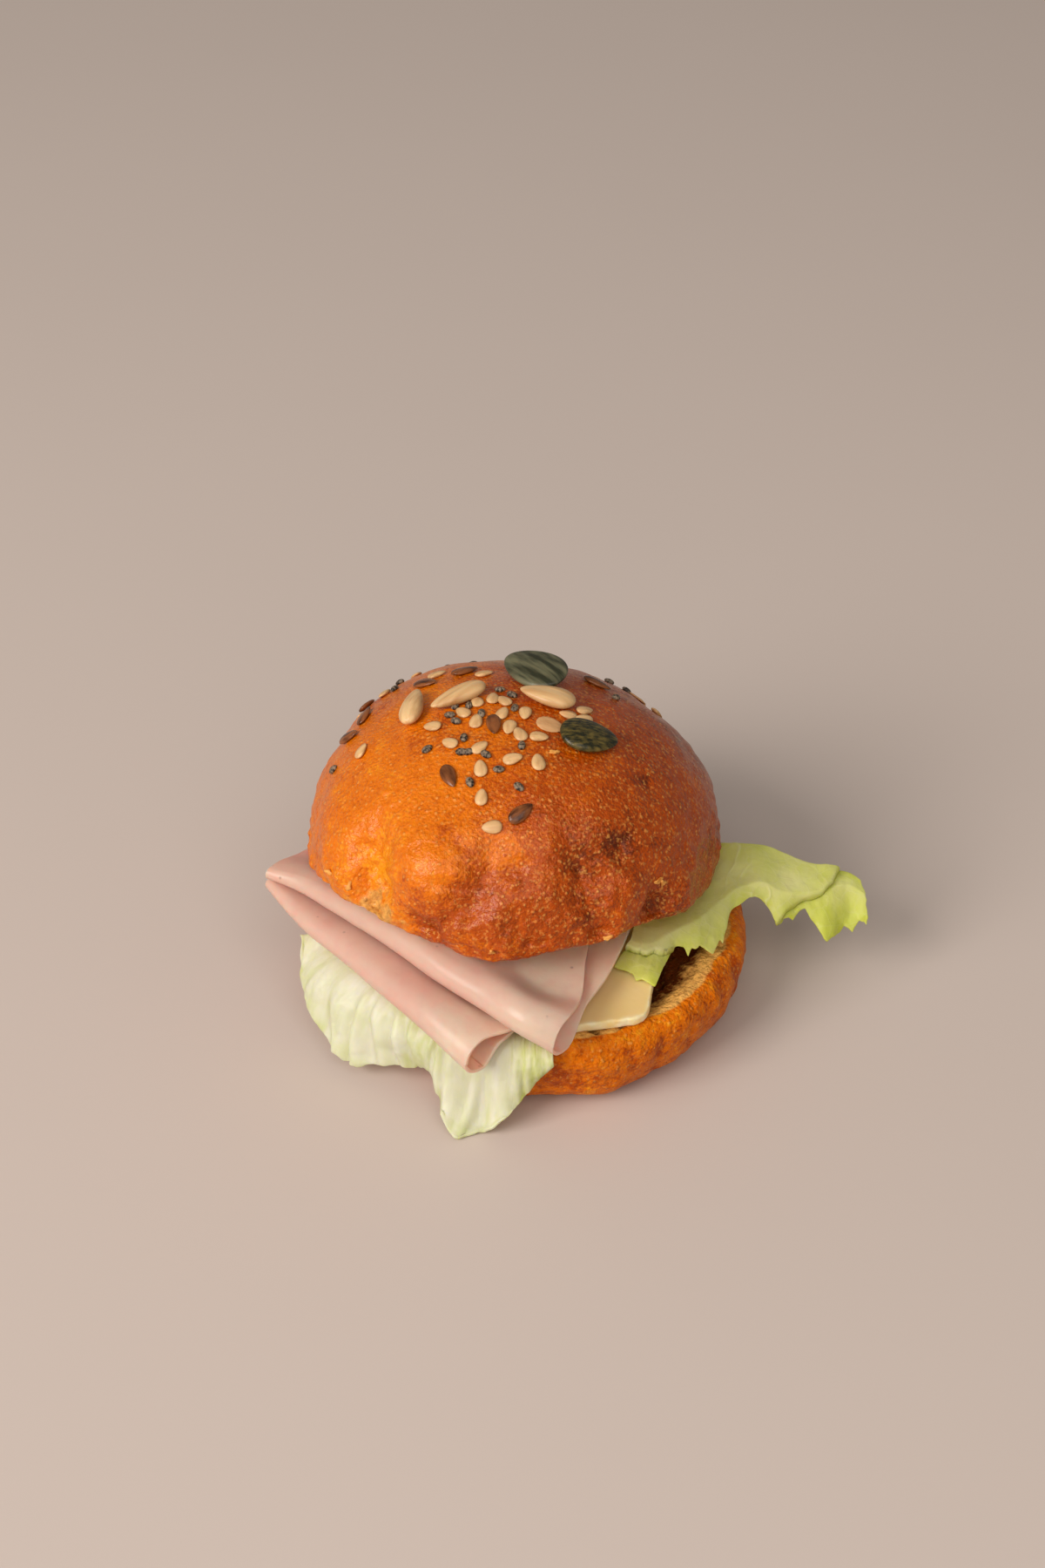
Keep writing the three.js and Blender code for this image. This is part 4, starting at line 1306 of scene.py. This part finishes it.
@dataclass(frozen=True)
class FrontLeaf(Lettuce):
    """The pale leaf that hangs over the heel's front left, with ribs that fan out to its edge."""

    thickness: float = 0.6
    size: tuple[float, float] = (60.0, 30.0)
    rib_tone: float = 0.35
    rib_swell: float = 0.6
    stations: Rows = (  # bearing, inner, reach, low, hug
        (-172, 26, 46.2, 16.4, 0.0), (-166, 26, 46.5, 10.5, 0.0), (-160, 26, 47.0, 7.2, 0.0),
        (-153, 26, 46.0, 4.2, 0.0), (-146.5, 26, 44.7, 2.9, 0.0), (-141.5, 26, 44.0, 2.4, 0.0),
        (-135, 26, 41.4, 4.8, 0.1), (-127, 26.5, 39.9, 6.4, 0.1), (-121, 29, 39.5, 7.4, 0.2),
        (-117.5, 31, 41.4, 4.2, 0.5), (-111, 32, 47.6, 1.3, 0.9), (-105, 33, 46.0, 1.2, 0.95),
        (-99.5, 34.5, 43.2, 3.9, 0.8), (-95.5, 36, 40.7, 7.4, 0.4), (-91.5, 37.2, 39.6, 11.5, 0.1),
        (-88, 37.6, 39.3, 14.8, 0.0),
    )
    inner_height: float = 17.25
    rim_radius: float = 35.0
    shoulder: tuple[float, float] = (40.8, 17.5)  # radius and height that its turn is drawn to
    inner_share: float = 0.25  # of its width, inside the rim
    least_inside: float = 0.3
    drape_inset: float = 1.5  # how far inside its edge a leaf that hangs free is drawn down
    drape_height: float = 0.75  # and from how high, as a share of the shoulder's height
    hug_rise: float = 1.0  # how far over its edge a leaf that hugs the crust is drawn in
    rib_count: float = 12.0
    # Long cups and creases of the lower flap: height, bearing, drift over the width and spread.
    cups: Rows = (
        (0.8, -100.5, 0.0, 1.8), (-2.1, -106.5, 0.0, 4.4), (0.8, -108.0, 6.0, 0.8), (0.5, -104.0, -5.0, 0.7),
    )

    def surface(self) -> Shell:
        """Each bearing's line runs straight out to the rim, then down a cubic curve that is drawn
        to the shoulder and, where it hugs the crust, to a point close under it.

        Returns:
            The shell.
        """
        v, u = np.meshgrid(fine_ends(130, 4, 0.008), fine_ends(250, 4, 0.006), indexing="ij")
        bearing, inner, reach, low, hug = np.moveaxis(between(np.array(self.stations), u), -1, 0)
        rim = np.maximum(self.rim_radius, inner + self.least_inside)
        out = np.clip(v / self.inner_share, 0.0, 1.0)
        t = np.clip((v - self.inner_share) / (1.0 - self.inner_share), 0.0, 1.0)
        bend_radius = np.maximum(reach - self.drape_inset, self.shoulder[0])
        bend_radius = bend_radius + (self.shoulder[0] - bend_radius) * hug
        bend_height = np.maximum(low, self.drape_height * self.shoulder[1])
        bend_height = bend_height + (low + self.hug_rise - bend_height) * hug
        weights = (1 - t) ** 3, 3 * t * (1 - t) ** 2, 3 * t**2 * (1 - t), t**3
        radii, heights = (
            sum(weight * value for weight, value in zip(weights, values))
            for values in (
                (rim, self.shoulder[0], bend_radius, reach),
                (self.inner_height, self.shoulder[1], bend_height, low),
            )
        )
        inside = v < self.inner_share
        radius = np.where(inside, inner + (rim - inner) * out, radii)
        points = around(bearing, radius, np.where(inside, self.inner_height, heights))
        flat = self.flat(u, v)
        wander = noise(flat * np.array([1.0, 0.15, 0.0]), 11.0, 41, 2)
        phase = (u + 0.06 * (1.0 - v)) * self.rib_count + 1.3 * wander
        rib = self.ribs(phase, smoothstep(noise(flat, 12.0, 45), -0.5, 0.4))
        pleats = 0.5 * np.sin(2 * math.pi * phase + 0.8) * (0.25 + 1.1 * bell(bearing + 137.0, 12.0))
        crumple = 0.45 * noise(points, 5.5, 42, 2) + 0.12 * noise(points, 1.6, 46, 2)
        cup = sum(
            height * bell(bearing - at + drift * (v - 0.7), spread) for height, at, drift, spread in self.cups
        )
        drawn = noise(flat * np.array([1.0, 0.14, 0.0]), 1.9, 47, 2)
        push = (pleats + crumple + 0.3 * drawn + 0.16 * rib) * (1.0 - 0.4 * hug)
        push = (push + cup * smoothstep(t, 0.25, 0.85)) * smoothstep(t, 0.12, 0.5)
        points = points + push[..., None] * around(bearing, 1.0, 0.35)
        points[..., 2] += smoothstep(t, 0.88, 1.0) * (0.5 * noise(points, 2.2, 43, 3) + 0.2)
        points[..., 2] = np.maximum(points[..., 2], 0.5 + 0.2 * noise(flat, 3.0, 48))  # off the table
        green = 0.12 + 0.75 * smoothstep(bearing, -100.0, -93.0) + 0.35 * bell(bearing + 122.0, 4.0)
        green = green + 0.3 * smoothstep(t, 0.85, 1.0) + 0.3 * noise(points, 5.0, 44, 2) - 0.22 * drawn
        return self.sheet(points, rounded_sheet(u, v, *self.size, self.thickness), flat, green, rib)


@dataclass(frozen=True)
class SideLeaf(Lettuce):
    """The green leaf that comes out to the right: a hanging front edge with pointed teeth, the
    ridge where the blade turns over, and its back edge."""

    thickness: float = 0.5
    size: tuple[float, float] = (62.0, 24.0)
    rib_tone: float = 0.4
    rib_swell: float = 0.4
    crumpled_size: tuple[float, float] = (70.0, 26.0)  # along its teeth and waves, for its rim
    edge: Rows = (
        (12.6, -19.4, 20.2), (16.0, -21.6, 19.8), (19.8, -22.6, 19.8), (23.8, -15.2, 20.4),
        (28.4, -14.2, 19.8), (32.6, -11.6, 19.2), (34.8, -5.0, 21.4), (39.6, -3.2, 22.2),
        (43.4, -4.8, 19.6), (48.4, -2.6, 18.8), (52.6, -4.8, 15.2), (57.2, -2.4, 14.4),
        (61.2, -0.4, 15.8),
    )
    ridge: Rows = (
        (15.7, -14.8, 22.2), (17.8, -15.9, 22.3), (20.0, -15.2, 22.4), (24.0, -12.4, 22.6),
        (28.2, -9.8, 22.8), (32.4, -5.2, 23.2), (36.4, -2.0, 24.2), (40.4, -1.0, 24.4),
        (44.6, -1.6, 22.8), (48.8, -0.8, 22.2), (53.0, 0.6, 21.8), (57.2, 3.0, 20.6),
        (60.8, 2.2, 18.8),
    )
    back: Rows = (
        (21.5, 16.0, 20.0), (23.0, 25.0, 19.6), (24.5, 26.0, 19.4), (29.0, 21.0, 19.8),
        (31.6, 15.4, 21.6), (34.0, 11.4, 24.0), (38.0, 9.8, 25.0), (42.0, 9.2, 24.9),
        (46.0, 7.7, 24.4), (50.2, 6.0, 23.7), (54.0, 6.0, 23.0), (57.6, 6.0, 21.2),
        (60.4, 4.4, 20.0),
    )
    ridge_share: float = 0.35
    ruffle: float = 0.6
    ruffle_length: float = 8.5
    rib_count: float = 9.0
    # Points of the front edge: their share of its length, how far they stick out, their width.
    teeth: Rows = (
        (0.10, 0.9, 1.2), (0.17, 1.2, 1.6), (0.295, 1.7, 0.9), (0.335, -0.8, 1.2), (0.378, 2.2, 1.8),
        (0.425, 1.2, 1.0), (0.455, 0.4, 0.6), (0.668, 0.9, 1.3), (0.69, -0.5, 0.8), (0.722, 1.3, 1.2),
        (0.76, -0.7, 1.6), (0.842, 0.8, 1.1), (0.905, -0.7, 1.3), (0.935, 1.0, 1.0), (0.96, -0.7, 0.9),
        (0.99, 1.0, 0.8),
    )
    # Lines over which the blade stands, in shares of its length and width: the lobe on their
    # right lies deeper.
    overhangs: tuple[Rows, ...] = (
        ((-0.05, 0.26), (0.0, 0.25), (0.083, 0.31), (0.125, 0.29), (0.167, 0.30), (0.21, 0.2), (0.25, 0.0)),
        ((0.66, -0.02), (0.69, 0.14), (0.75, 0.27), (0.82, 0.36), (0.85, 0.55), (0.872, 1.0), (0.88, 1.1)),
    )
    overhang: float = 1.7
    overhang_length: float = 3.5

    def surface(self) -> Shell:
        """Straight from the front edge up to the ridge and from the ridge to the back edge, with
        waves and teeth along the front edge, two lobes that lie deeper, and fine crumples.

        Returns:
            The shell.
        """
        v, u = np.meshgrid(fine_ends(110, 4, 0.008), fine_ends(270, 4, 0.006), indexing="ij")
        edge, ridge, back = (between(np.array(line), u) for line in (self.edge, self.ridge, self.back))
        low = np.clip(v / self.ridge_share, 0.0, 1.0)[..., None]
        high = np.clip((v - self.ridge_share) / (1.0 - self.ridge_share), 0.0, 1.0)[..., None]
        points = edge + (ridge - edge) * low + (back - ridge) * high
        near = 1.0 - low[..., 0]
        points[..., 1] -= self.ruffle * near * np.sin(2 * math.pi * points[..., 0] / self.ruffle_length)
        length, width = self.size
        teeth = sum(
            size * np.maximum(1.0 - np.abs(u - at) * length / spread, 0.0) ** 1.4
            for at, size, spread in self.teeth
        )
        outward = (edge - ridge) / np.linalg.norm(edge - ridge, axis=-1, keepdims=True)
        points = points + (teeth * near**2)[..., None] * outward
        points[..., 0] += 0.6 * smoothstep(u, 0.97, 1.0) * noise(points, 1.5, 55, 2)
        flat = self.flat(u, v)
        wander = 0.5 * noise(flat, 3.0, 56, 2)
        shade = np.zeros(u.shape)
        for line in self.overhangs:
            real = tuple((length * along, width * across) for along, across in line)
            gap = side_distance(flat[..., 0], flat[..., 1] + wander, real)
            deeper = smoothstep(gap, 0.0, 0.4) * np.exp(-np.maximum(gap, 0.0) / self.overhang_length)
            points[..., 2] -= self.overhang * deeper
            points[..., 1] += 0.5 * self.overhang * deeper
            shade = np.maximum(shade, deeper)
        out = smoothstep(points[..., 0], 28.0, 36.0)
        points[..., 2] += 0.55 * noise(points, 6.0, 51, 2) * (0.4 + 0.6 * out) + 0.1 * noise(points, 1.8, 57, 2)
        points[..., 1] += 0.5 * near**2 * noise(points, 2.2, 52, 2)
        phase = self.rib_count * u + 0.8 * noise(flat, 8.0, 53, 2)
        rib = self.ribs(phase, smoothstep(noise(flat, 9.0, 58), -0.3, 0.5))
        green = 0.45 + 0.3 * near**2 - 0.3 * bell(v - 0.45, 0.18) + 0.3 * noise(points, 5.0, 54, 2)
        # The lobes under the overhang lines get more green: painted shade.
        green = green + 0.25 * smoothstep(points[..., 0], 48.0, 58.0) + 0.5 * shade
        return self.sheet(points, rounded_sheet(u, v, *self.crumpled_size, self.thickness), flat, green, rib)


# --- Seeds ---


@dataclass(frozen=True)
class SeedShape:
    """A seed: half its length, width and thickness in millimetres, how much it narrows to its
    tip, how far it is baked in, and how many segments and rings its mesh has."""

    half: tuple[float, float, float]
    taper: float
    sunk: float = 0.2
    point: float = 1.0
    rim: float = 0.0
    crease: float = 0.0
    ragged: float = 0.0
    mesh: tuple[int, int] = (12, 9)

    def surface(self) -> Shell:
        """A flat drop with its tip at +X: length cos(a), girth sin(a)^point (1 - taper cos(a)).
        A rim stands up near its outline, and a crease runs along its top.

        Returns:
            The shell, round its own middle.
        """
        segments, rings = self.mesh
        turn, along = np.meshgrid(
            np.linspace(0.0, 2 * math.pi, segments, endpoint=False), np.linspace(0.0, math.pi, rings),
        )
        power = np.where(np.cos(along) > 0, self.point, 1.0)
        girth = np.sin(along) ** power * (1.0 - self.taper * np.cos(along))
        rim = 1.0 + self.rim * bell(np.abs(np.cos(turn)) - 0.86, 0.08)
        crease = 1.0 - self.crease * bell(np.cos(turn), 0.16) * (np.sin(turn) > 0)
        length, width, thickness = self.half
        across = width * girth * np.cos(turn)
        up = thickness * girth * np.sin(turn) * rim * crease
        grid = np.stack([length * np.cos(along), across, up], axis=-1)
        grid = grid * (1.0 + self.ragged * noise(grid, 0.6, 71, 2))[..., None]
        edge = smoothstep(np.abs(np.cos(turn)) * np.sin(along) ** 0.5, 0.78, 0.97)
        marks = {"edge": edge, "along": grid[..., 0] * MM, "across": grid[..., 1] * MM}
        return Shell.from_rings(grid, marks)


class SeedKind(Enum):
    """The small seeds, each with its shape and its skin."""

    SESAME = "sesame"
    FLAX = "flax"
    CHIA = "chia"
    FLAKE = "flake"
    CRUMB = "crumb"


SEED_SHAPES = {
    SeedKind.SESAME: SeedShape((1.75, 1.22, 0.45), 0.24, 0.12, 1.1),
    SeedKind.FLAX: SeedShape((2.75, 1.42, 0.52), 0.22, 0.1, 1.3, mesh=(14, 11)),
    SeedKind.CHIA: SeedShape((1.05, 0.72, 0.52), 0.05, 0.2),
    SeedKind.FLAKE: SeedShape((2.6, 2.0, 0.3), 0.1, 0.1, mesh=(16, 9)),
    SeedKind.CRUMB: SeedShape((0.9, 0.55, 0.4), 0.2, 0.3, ragged=0.5, mesh=(14, 11)),
}

SEED_FINISHES = {
    SeedKind.SESAME: Seed("hulled_sesame", "#dcb07a", "#9c6630", 0.5, 0.45, 0.36, 0.6),
    # Flax's negative edge tone draws its outline paler: partly its own pale rim, partly painted highlight.
    SeedKind.FLAX: Seed("brown_flax_skin", "#8a5028", "#3a1a08", 0.9, 1.3, 0.24, -0.7),
    SeedKind.CHIA: Seed("mottled_chia_skin", "#927c64", "#160d06", 0.24, 1.2, 0.5, 0.2, 1.0),
    SeedKind.FLAKE: Seed("oat_flake", "#d3a06c", "#b07b4a", 0.9, 0.5, 0.5),
    SeedKind.CRUMB: Seed("torn_crumb", "#ecaa54", "#b8681a", 0.35, 0.9, 0.7),
}


class Seen(NamedTuple):
    """A seed that the camera sees: where it lies in the camera's frame, in pixels from the left
    and from the top, and where its tip points to there, in degrees from the right."""

    across: float
    below: float
    tip: float


SEEDS_SEEN = {
    SeedKind.SESAME: (
        (502, 776, 20), (556, 775, 10), (548, 807, 115), (566, 803, 80), (579, 806, 145), (532, 819, 150),
        (547, 829, 80), (577, 820, 60), (603, 820, -100), (585, 836, -110), (597, 844, 120), (497, 835, 180),
        (517, 854, 160), (551, 859, 35), (589, 872, 15), (618, 876, 100), (552, 883, 95), (553, 916, 85),
        (565, 950, 185), (652, 822, 165), (671, 817, 5), (670, 827, 175), (619, 847, -5), (416, 863, 60),
        (383, 858, 65),
    ),
    SeedKind.FLAX: (
        (509, 765, 20), (534, 772, 15), (489, 786, 5), (567, 833, -85), (516, 892, -65), (598, 934, 38),
        (685, 786, -25), (420, 823, 60), (402, 847, 30),
    ),
    SeedKind.CHIA: (
        (523, 812, 60), (539, 811, 80), (517, 822, 0), (524, 829, -20), (553, 820, 90), (574, 793, 0),
        (588, 799, -20), (591, 814, 60), (530, 864, 0), (538, 864, 10), (558, 867, -30), (599, 857, 80),
        (573, 884, 0), (540, 899, -70), (596, 904, -40), (707, 802, 10), (733, 800, -40), (454, 792, 40),
        (384, 884, 50), (533, 848, 90), (491, 861, 35),
    ),
    SeedKind.FLAKE: ((631, 833, -20),),
    SeedKind.CRUMB: (
        (378, 1001, 150), (401, 1018, 60), (426, 1048, 175), (565, 1092, 80), (697, 1076, 10), (636, 864, 0),
        (755, 1011, 30), (761, 1013, 100),
    ),
}


@dataclass(frozen=True)
class LargeSeed:
    """A seed that is a CAD node: its shape, and how it lies on the crown."""

    name: str
    shape: SeedShape
    finish: Seed
    bearing: float
    slope: float
    lift: float  # millimetres off the crust
    tip: float  # bearing that its tip points to
    lean: float  # degrees about its own length

    def surface(self, crown: Crown) -> Shell:
        """Lays the seed on the dome, its tip turned to a bearing, and leans it about its length.

        Args:
            crown: the crown that carries it.

        Returns:
            The shell, in its place on the sandwich.
        """
        here, down, across = (
            crown.dome(np.array(self.bearing + turn), np.array(self.slope + step))
            for turn, step in ((0.0, 0.0), (0.0, 0.5), (0.5, 0.0))
        )
        normal = np.cross(down - here, across - here)
        normal /= np.linalg.norm(normal)
        heading = around(np.array(self.tip), 1.0, 0.0)
        ahead = heading - normal * (heading @ normal)
        ahead /= np.linalg.norm(ahead)
        aside = np.cross(normal, ahead)
        cosine, sine = math.cos(math.radians(self.lean)), math.sin(math.radians(self.lean))
        basis = np.stack([ahead, aside * cosine + normal * sine, normal * cosine - aside * sine], axis=-1)
        place = here + normal * (self.shape.half[2] + self.lift)
        return self.shape.surface().moved(crown.frame() @ basis, crown.placed(place))


PALE_SKIN = Seed("grey_green_seed_membrane", "#6c684c", "#2c2c1a", 0.6, 1.5, 0.38, -1.0, 0.3)
DARK_SKIN = Seed("dark_green_seed_skin", "#232210", "#8a7436", 0.4, 0.5, 0.26, 0.15, 0.3)
KERNEL = Seed("toasted_sunflower_kernel", "#e2ba84", "#b07c48", 0.6, 0.75, 0.34, 0.4, 0.15)
PIP_1 = SeedShape((6.8, 4.5, 1.2), 0.2, rim=0.12, mesh=(48, 32))
PIP_2 = SeedShape((5.4, 3.9, 1.3), 0.24, rim=0.08, mesh=(48, 32))
HEART_1 = SeedShape((5.0, 2.2, 1.4), 0.3, crease=0.15, mesh=(40, 28))
HEART_2 = SeedShape((5.5, 2.2, 1.4), 0.3, crease=0.15, mesh=(40, 28))
HEART_3 = SeedShape((5.2, 2.6, 1.4), 0.35, crease=0.1, mesh=(40, 28))

LARGE_SEEDS = {
    "dark_seed": (
        LargeSeed("pumpkin_seed_1", PIP_1, PALE_SKIN, 56, 8, 1.1, 139, -24),
        LargeSeed("pumpkin_seed_2", PIP_2, DARK_SKIN, -46, 28, 0.0, 4, 0),
    ),
    "pale_seed": (
        LargeSeed("sunflower_kernel_1", HEART_1, KERNEL, -171, 29, 0.0, 78, 0),
        LargeSeed("sunflower_kernel_2", HEART_2, KERNEL, -163, 16.5, 0.0, 205, 0),
        LargeSeed("sunflower_kernel_3", HEART_3, KERNEL, -36, 10, 0.0, 166, 0),
    ),
}


# --- The studio ---


@dataclass(frozen=True)
class Lamp:
    """A square lamp that faces the sandwich: its place and side in metres, its watts and colour."""

    name: str
    place: tuple[float, float, float]
    size: float
    power: float
    tint: str
    aim: ClassVar[tuple[float, float, float]] = (0.0, 0.0, 0.03)

    def build(self) -> None:
        """Adds the lamp to the scene."""
        light = bpy.data.lights.new(self.name, "AREA")
        light.size = self.size
        light.energy = self.power
        light.color = linear(self.tint)[:3]
        lamp = bpy.data.objects.new(self.name, light)
        lamp.location = self.place
        lamp.rotation_euler = (Vector(self.aim) - Vector(self.place)).to_track_quat("-Z", "Y").to_euler()
        bpy.context.scene.collection.objects.link(lamp)


@dataclass(frozen=True)
class Studio:
    """The camera, the board that the sandwich stands on and the soft light."""

    eye: tuple[float, float, float] = (-4.03, -376.33, 335.72)  # millimetres
    down: float = 37.5  # degrees under the horizon
    lens: float = 60.0
    sensor: float = 36.0  # along the frame's longer side
    nearest: float = 0.01  # metres
    frame: tuple[int, int] = (1200, 1800)
    board_half: float = 4.0  # metres
    board_level: float = -5e-5  # just under the sandwich
    sky: tuple[str, float] = ("#f4f1ee", 0.27)
    lamps: tuple[Lamp, ...] = (
        Lamp("window", (-1.02, -0.82, 0.92), 0.85, 22.5, "#fffaf6"),
        Lamp("ceiling", (0.2, -1.15, 1.25), 1.4, 11.0, "#fffcf8"),
    )

    def ray(self, across: float, below: float) -> tuple[Vector, Vector]:
        """The camera's ray through a place of its frame.

        Args:
            across: pixels from the frame's left.
            below: pixels from its top.

        Returns:
            The ray's start, in metres, and its direction.
        """
        focal = self.lens / self.sensor * self.frame[1]
        right = (across - self.frame[0] / 2) / focal
        up = (self.frame[1] / 2 - below) / focal
        tilt = math.radians(self.down)
        ahead = Vector((0.0, math.cos(tilt), -math.sin(tilt)))
        above = Vector((0.0, math.sin(tilt), math.cos(tilt)))
        direction = ahead + right * Vector((1.0, 0.0, 0.0)) + up * above
        return Vector(self.eye) * MM, direction.normalized()

    def build(self) -> None:
        """Makes the camera, the board, the sky and the lamps."""
        scene = bpy.context.scene
        camera = bpy.data.objects.new("camera", bpy.data.cameras.new("camera"))
        camera.data.lens = self.lens
        camera.data.sensor_width = self.sensor
        camera.data.clip_start = self.nearest
        camera.location = Vector(self.eye) * MM
        camera.rotation_euler = (math.radians(90.0 - self.down), 0.0, 0.0)
        scene.collection.objects.link(camera)
        scene.camera = camera
        mesh = bpy.data.meshes.new("board")
        corners = [
            (self.board_half * x, self.board_half * y, self.board_level)
            for x, y in ((-1, -1), (1, -1), (1, 1), (-1, 1))
        ]
        mesh.from_pydata(corners, [], [(0, 1, 2, 3)])
        mesh.materials.append(Board("matte_board").material())
        board = bpy.data.objects.new("board", mesh)
        scene.collection.objects.link(board)
        scene.world = bpy.data.worlds.new("soft_room")
        scene.world.use_nodes = True
        sky = {"Color": linear(self.sky[0]), "Strength": self.sky[1]}
        feed(scene.world.node_tree, scene.world.node_tree.nodes["Background"], sky)
        scene.view_settings.view_transform = "Standard"
        for lamp in self.lamps:
            lamp.build()


# --- The small seeds on the crown, and the whole ---


@dataclass(frozen=True)
class Sprinkling:
    """The small seeds on the crown: those that the camera sees, and a seeded scatter behind."""

    crown: Crown
    studio: Studio
    seed: int = 77
    behind: tuple[tuple[SeedKind, int], ...] = (
        (SeedKind.SESAME, 16), (SeedKind.FLAX, 5), (SeedKind.CHIA, 12), (SeedKind.FLAKE, 1),
        (SeedKind.CRUMB, 3),
    )
    back: tuple[float, float] = (28.0, 155.0)  # bearings of the scatter
    highest: float = 44.0  # its slopes, in degrees from the pole
    spread: float = 24.0
    apart: float = 4.4  # least distance between two seeds of it, in millimetres
    tries: int = 40
    probe: float = 4.0  # pixels from a seed's middle to the place that its tip is read from

    def _lie(self, shape: SeedShape, hit: Vector, normal: Vector, ahead: Vector, size: float) -> Shell:
        """Lays a seed flat on the crust, sunk in by its own share.

        Args:
            shape: the seed.
            hit: its place, in metres.
            normal: the crust's normal there.
            ahead: where its tip points to.
            size: how large it is, about 1.

        Returns:
            The shell, in its place on the sandwich.
        """
        ahead = (ahead - normal * ahead.dot(normal)).normalized()
        basis = np.array([ahead, normal.cross(ahead), normal]).T
        place = np.array(hit) / MM + np.array(normal) * shape.half[2] * (1.0 - 2.0 * shape.sunk)
        return shape.surface().moved(basis * size, place)

    def _place_behind(
        self, tree: BVHTree, chance: np.random.Generator, taken: list[Vector]
    ) -> tuple[Vector, Vector]:
        """Picks a place on the crown's back that keeps clear of the seeds before it.

        Args:
            tree: the crust's faces.
            chance: the source of random numbers.
            taken: where the other seeds lie, in metres.

        Returns:
            The place, in metres, and the crust's normal there.
        """
        centre = Vector(self.crown.centre) * MM
        for _ in range(self.tries):
            bearing, slope = chance.uniform(*self.back), self.highest + self.spread * chance.uniform() ** 1.3
            aim = Vector(self.crown.placed(2.0 * self.crown.dome(np.array(bearing), np.array(slope))) * MM)
            hit, normal, _, _ = tree.ray_cast(aim, (centre - aim).normalized())
            if all((hit - other).length > self.apart * MM for other in taken):
                break
        return hit, normal

    def build(self, crust: bpy.types.Object) -> None:
        """Lays the seeds and builds one piece for each kind.

        Args:
            crust: the crown's object, which carries them.
        """
        tree = BVHTree.FromObject(crust, bpy.context.evaluated_depsgraph_get())
        chance = np.random.default_rng(self.seed)
        taken: list[Vector] = []
        for kind, places in SEEDS_SEEN.items():
            shape = SEED_SHAPES[kind]
            seeds = []
            for seen in map(Seen._make, places):
                start, direction = self.studio.ray(seen.across, seen.below)
                hit, normal, _, _ = tree.ray_cast(start, direction)
                turn = math.radians(seen.tip)
                aside = self.studio.ray(
                    seen.across + self.probe * math.cos(turn), seen.below - self.probe * math.sin(turn)
                )[1]
                if hit is None:
                    LOG.info("%s at %d, %d misses the crown", kind.value, seen.across, seen.below)
                    continue
                ahead = start + aside * ((hit - start).dot(normal) / aside.dot(normal)) - hit
                seeds.append(self._lie(shape, hit, normal, ahead, chance.uniform(0.94, 1.06)))
            for _ in range(dict(self.behind)[kind]):
                hit, normal = self._place_behind(tree, chance, taken)
                taken.append(hit)
                turn = chance.uniform(0.0, 2 * math.pi)
                ahead = Vector((math.cos(turn), math.sin(turn), 0.0))
                seeds.append(self._lie(shape, hit, normal, ahead, chance.uniform(0.92, 1.06)))
            slot = "dark_seed" if kind in (SeedKind.FLAX, SeedKind.CHIA) else "pale_seed"
            Shell.joined(seeds).build(f"{kind.value}_toppings", SEED_FINISHES[kind], slot)


def main() -> None:
    """Loads the frame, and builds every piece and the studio."""
    logging.basicConfig(level=logging.INFO, format="%(name)s: %(message)s")
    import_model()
    studio = Studio()
    studio.build()
    crown, cheese = Crown(), CheeseSlice()
    crust = Bread("egg_washed_brioche_crust")
    side = Bread("brioche_side_crust", roughness=0.55, coat=0.06, relief_mm=0.7)
    crown_piece = crown.surface().build("crown", crust, "crust", "bun_crown")
    Heel().surface().build("heel", side, "heel", "bun_heel")
    cheese.surface().build("cheese", Cheese("semi_hard_cheese"), "cheese", "cheese_slice")
    for node, ham in ham_slices(PlyStack(cheese, crown)).items():
        ham.surface().build(node.replace("slice", "folded"), Ham("cooked_ham"), "ham", node)
    pale = Leaf("pale_crisp_leaf", "#ced76c", "#e8eac6", "#fcfaea", vein=0.1, streak=0.55)
    FrontLeaf().surface().build("front_leaf", pale, "lettuce_pale", "lettuce_front")
    green = Leaf("green_crisp_leaf", "#dae24c", "#f2f2a2", "#f8f4cc", vein=0.2, streak=0.15)
    SideLeaf().surface().build("side_leaf", green, "lettuce_green", "lettuce_side")
    for slot, seeds in LARGE_SEEDS.items():
        for seed in seeds:
            piece = seed.name.replace("_seed", "_pip").replace("_kernel", "_heart")
            seed.surface(crown).build(piece, seed.finish, slot, seed.name)
    Sprinkling(crown, studio).build(crown_piece)


if __name__ == "__main__":
    main()
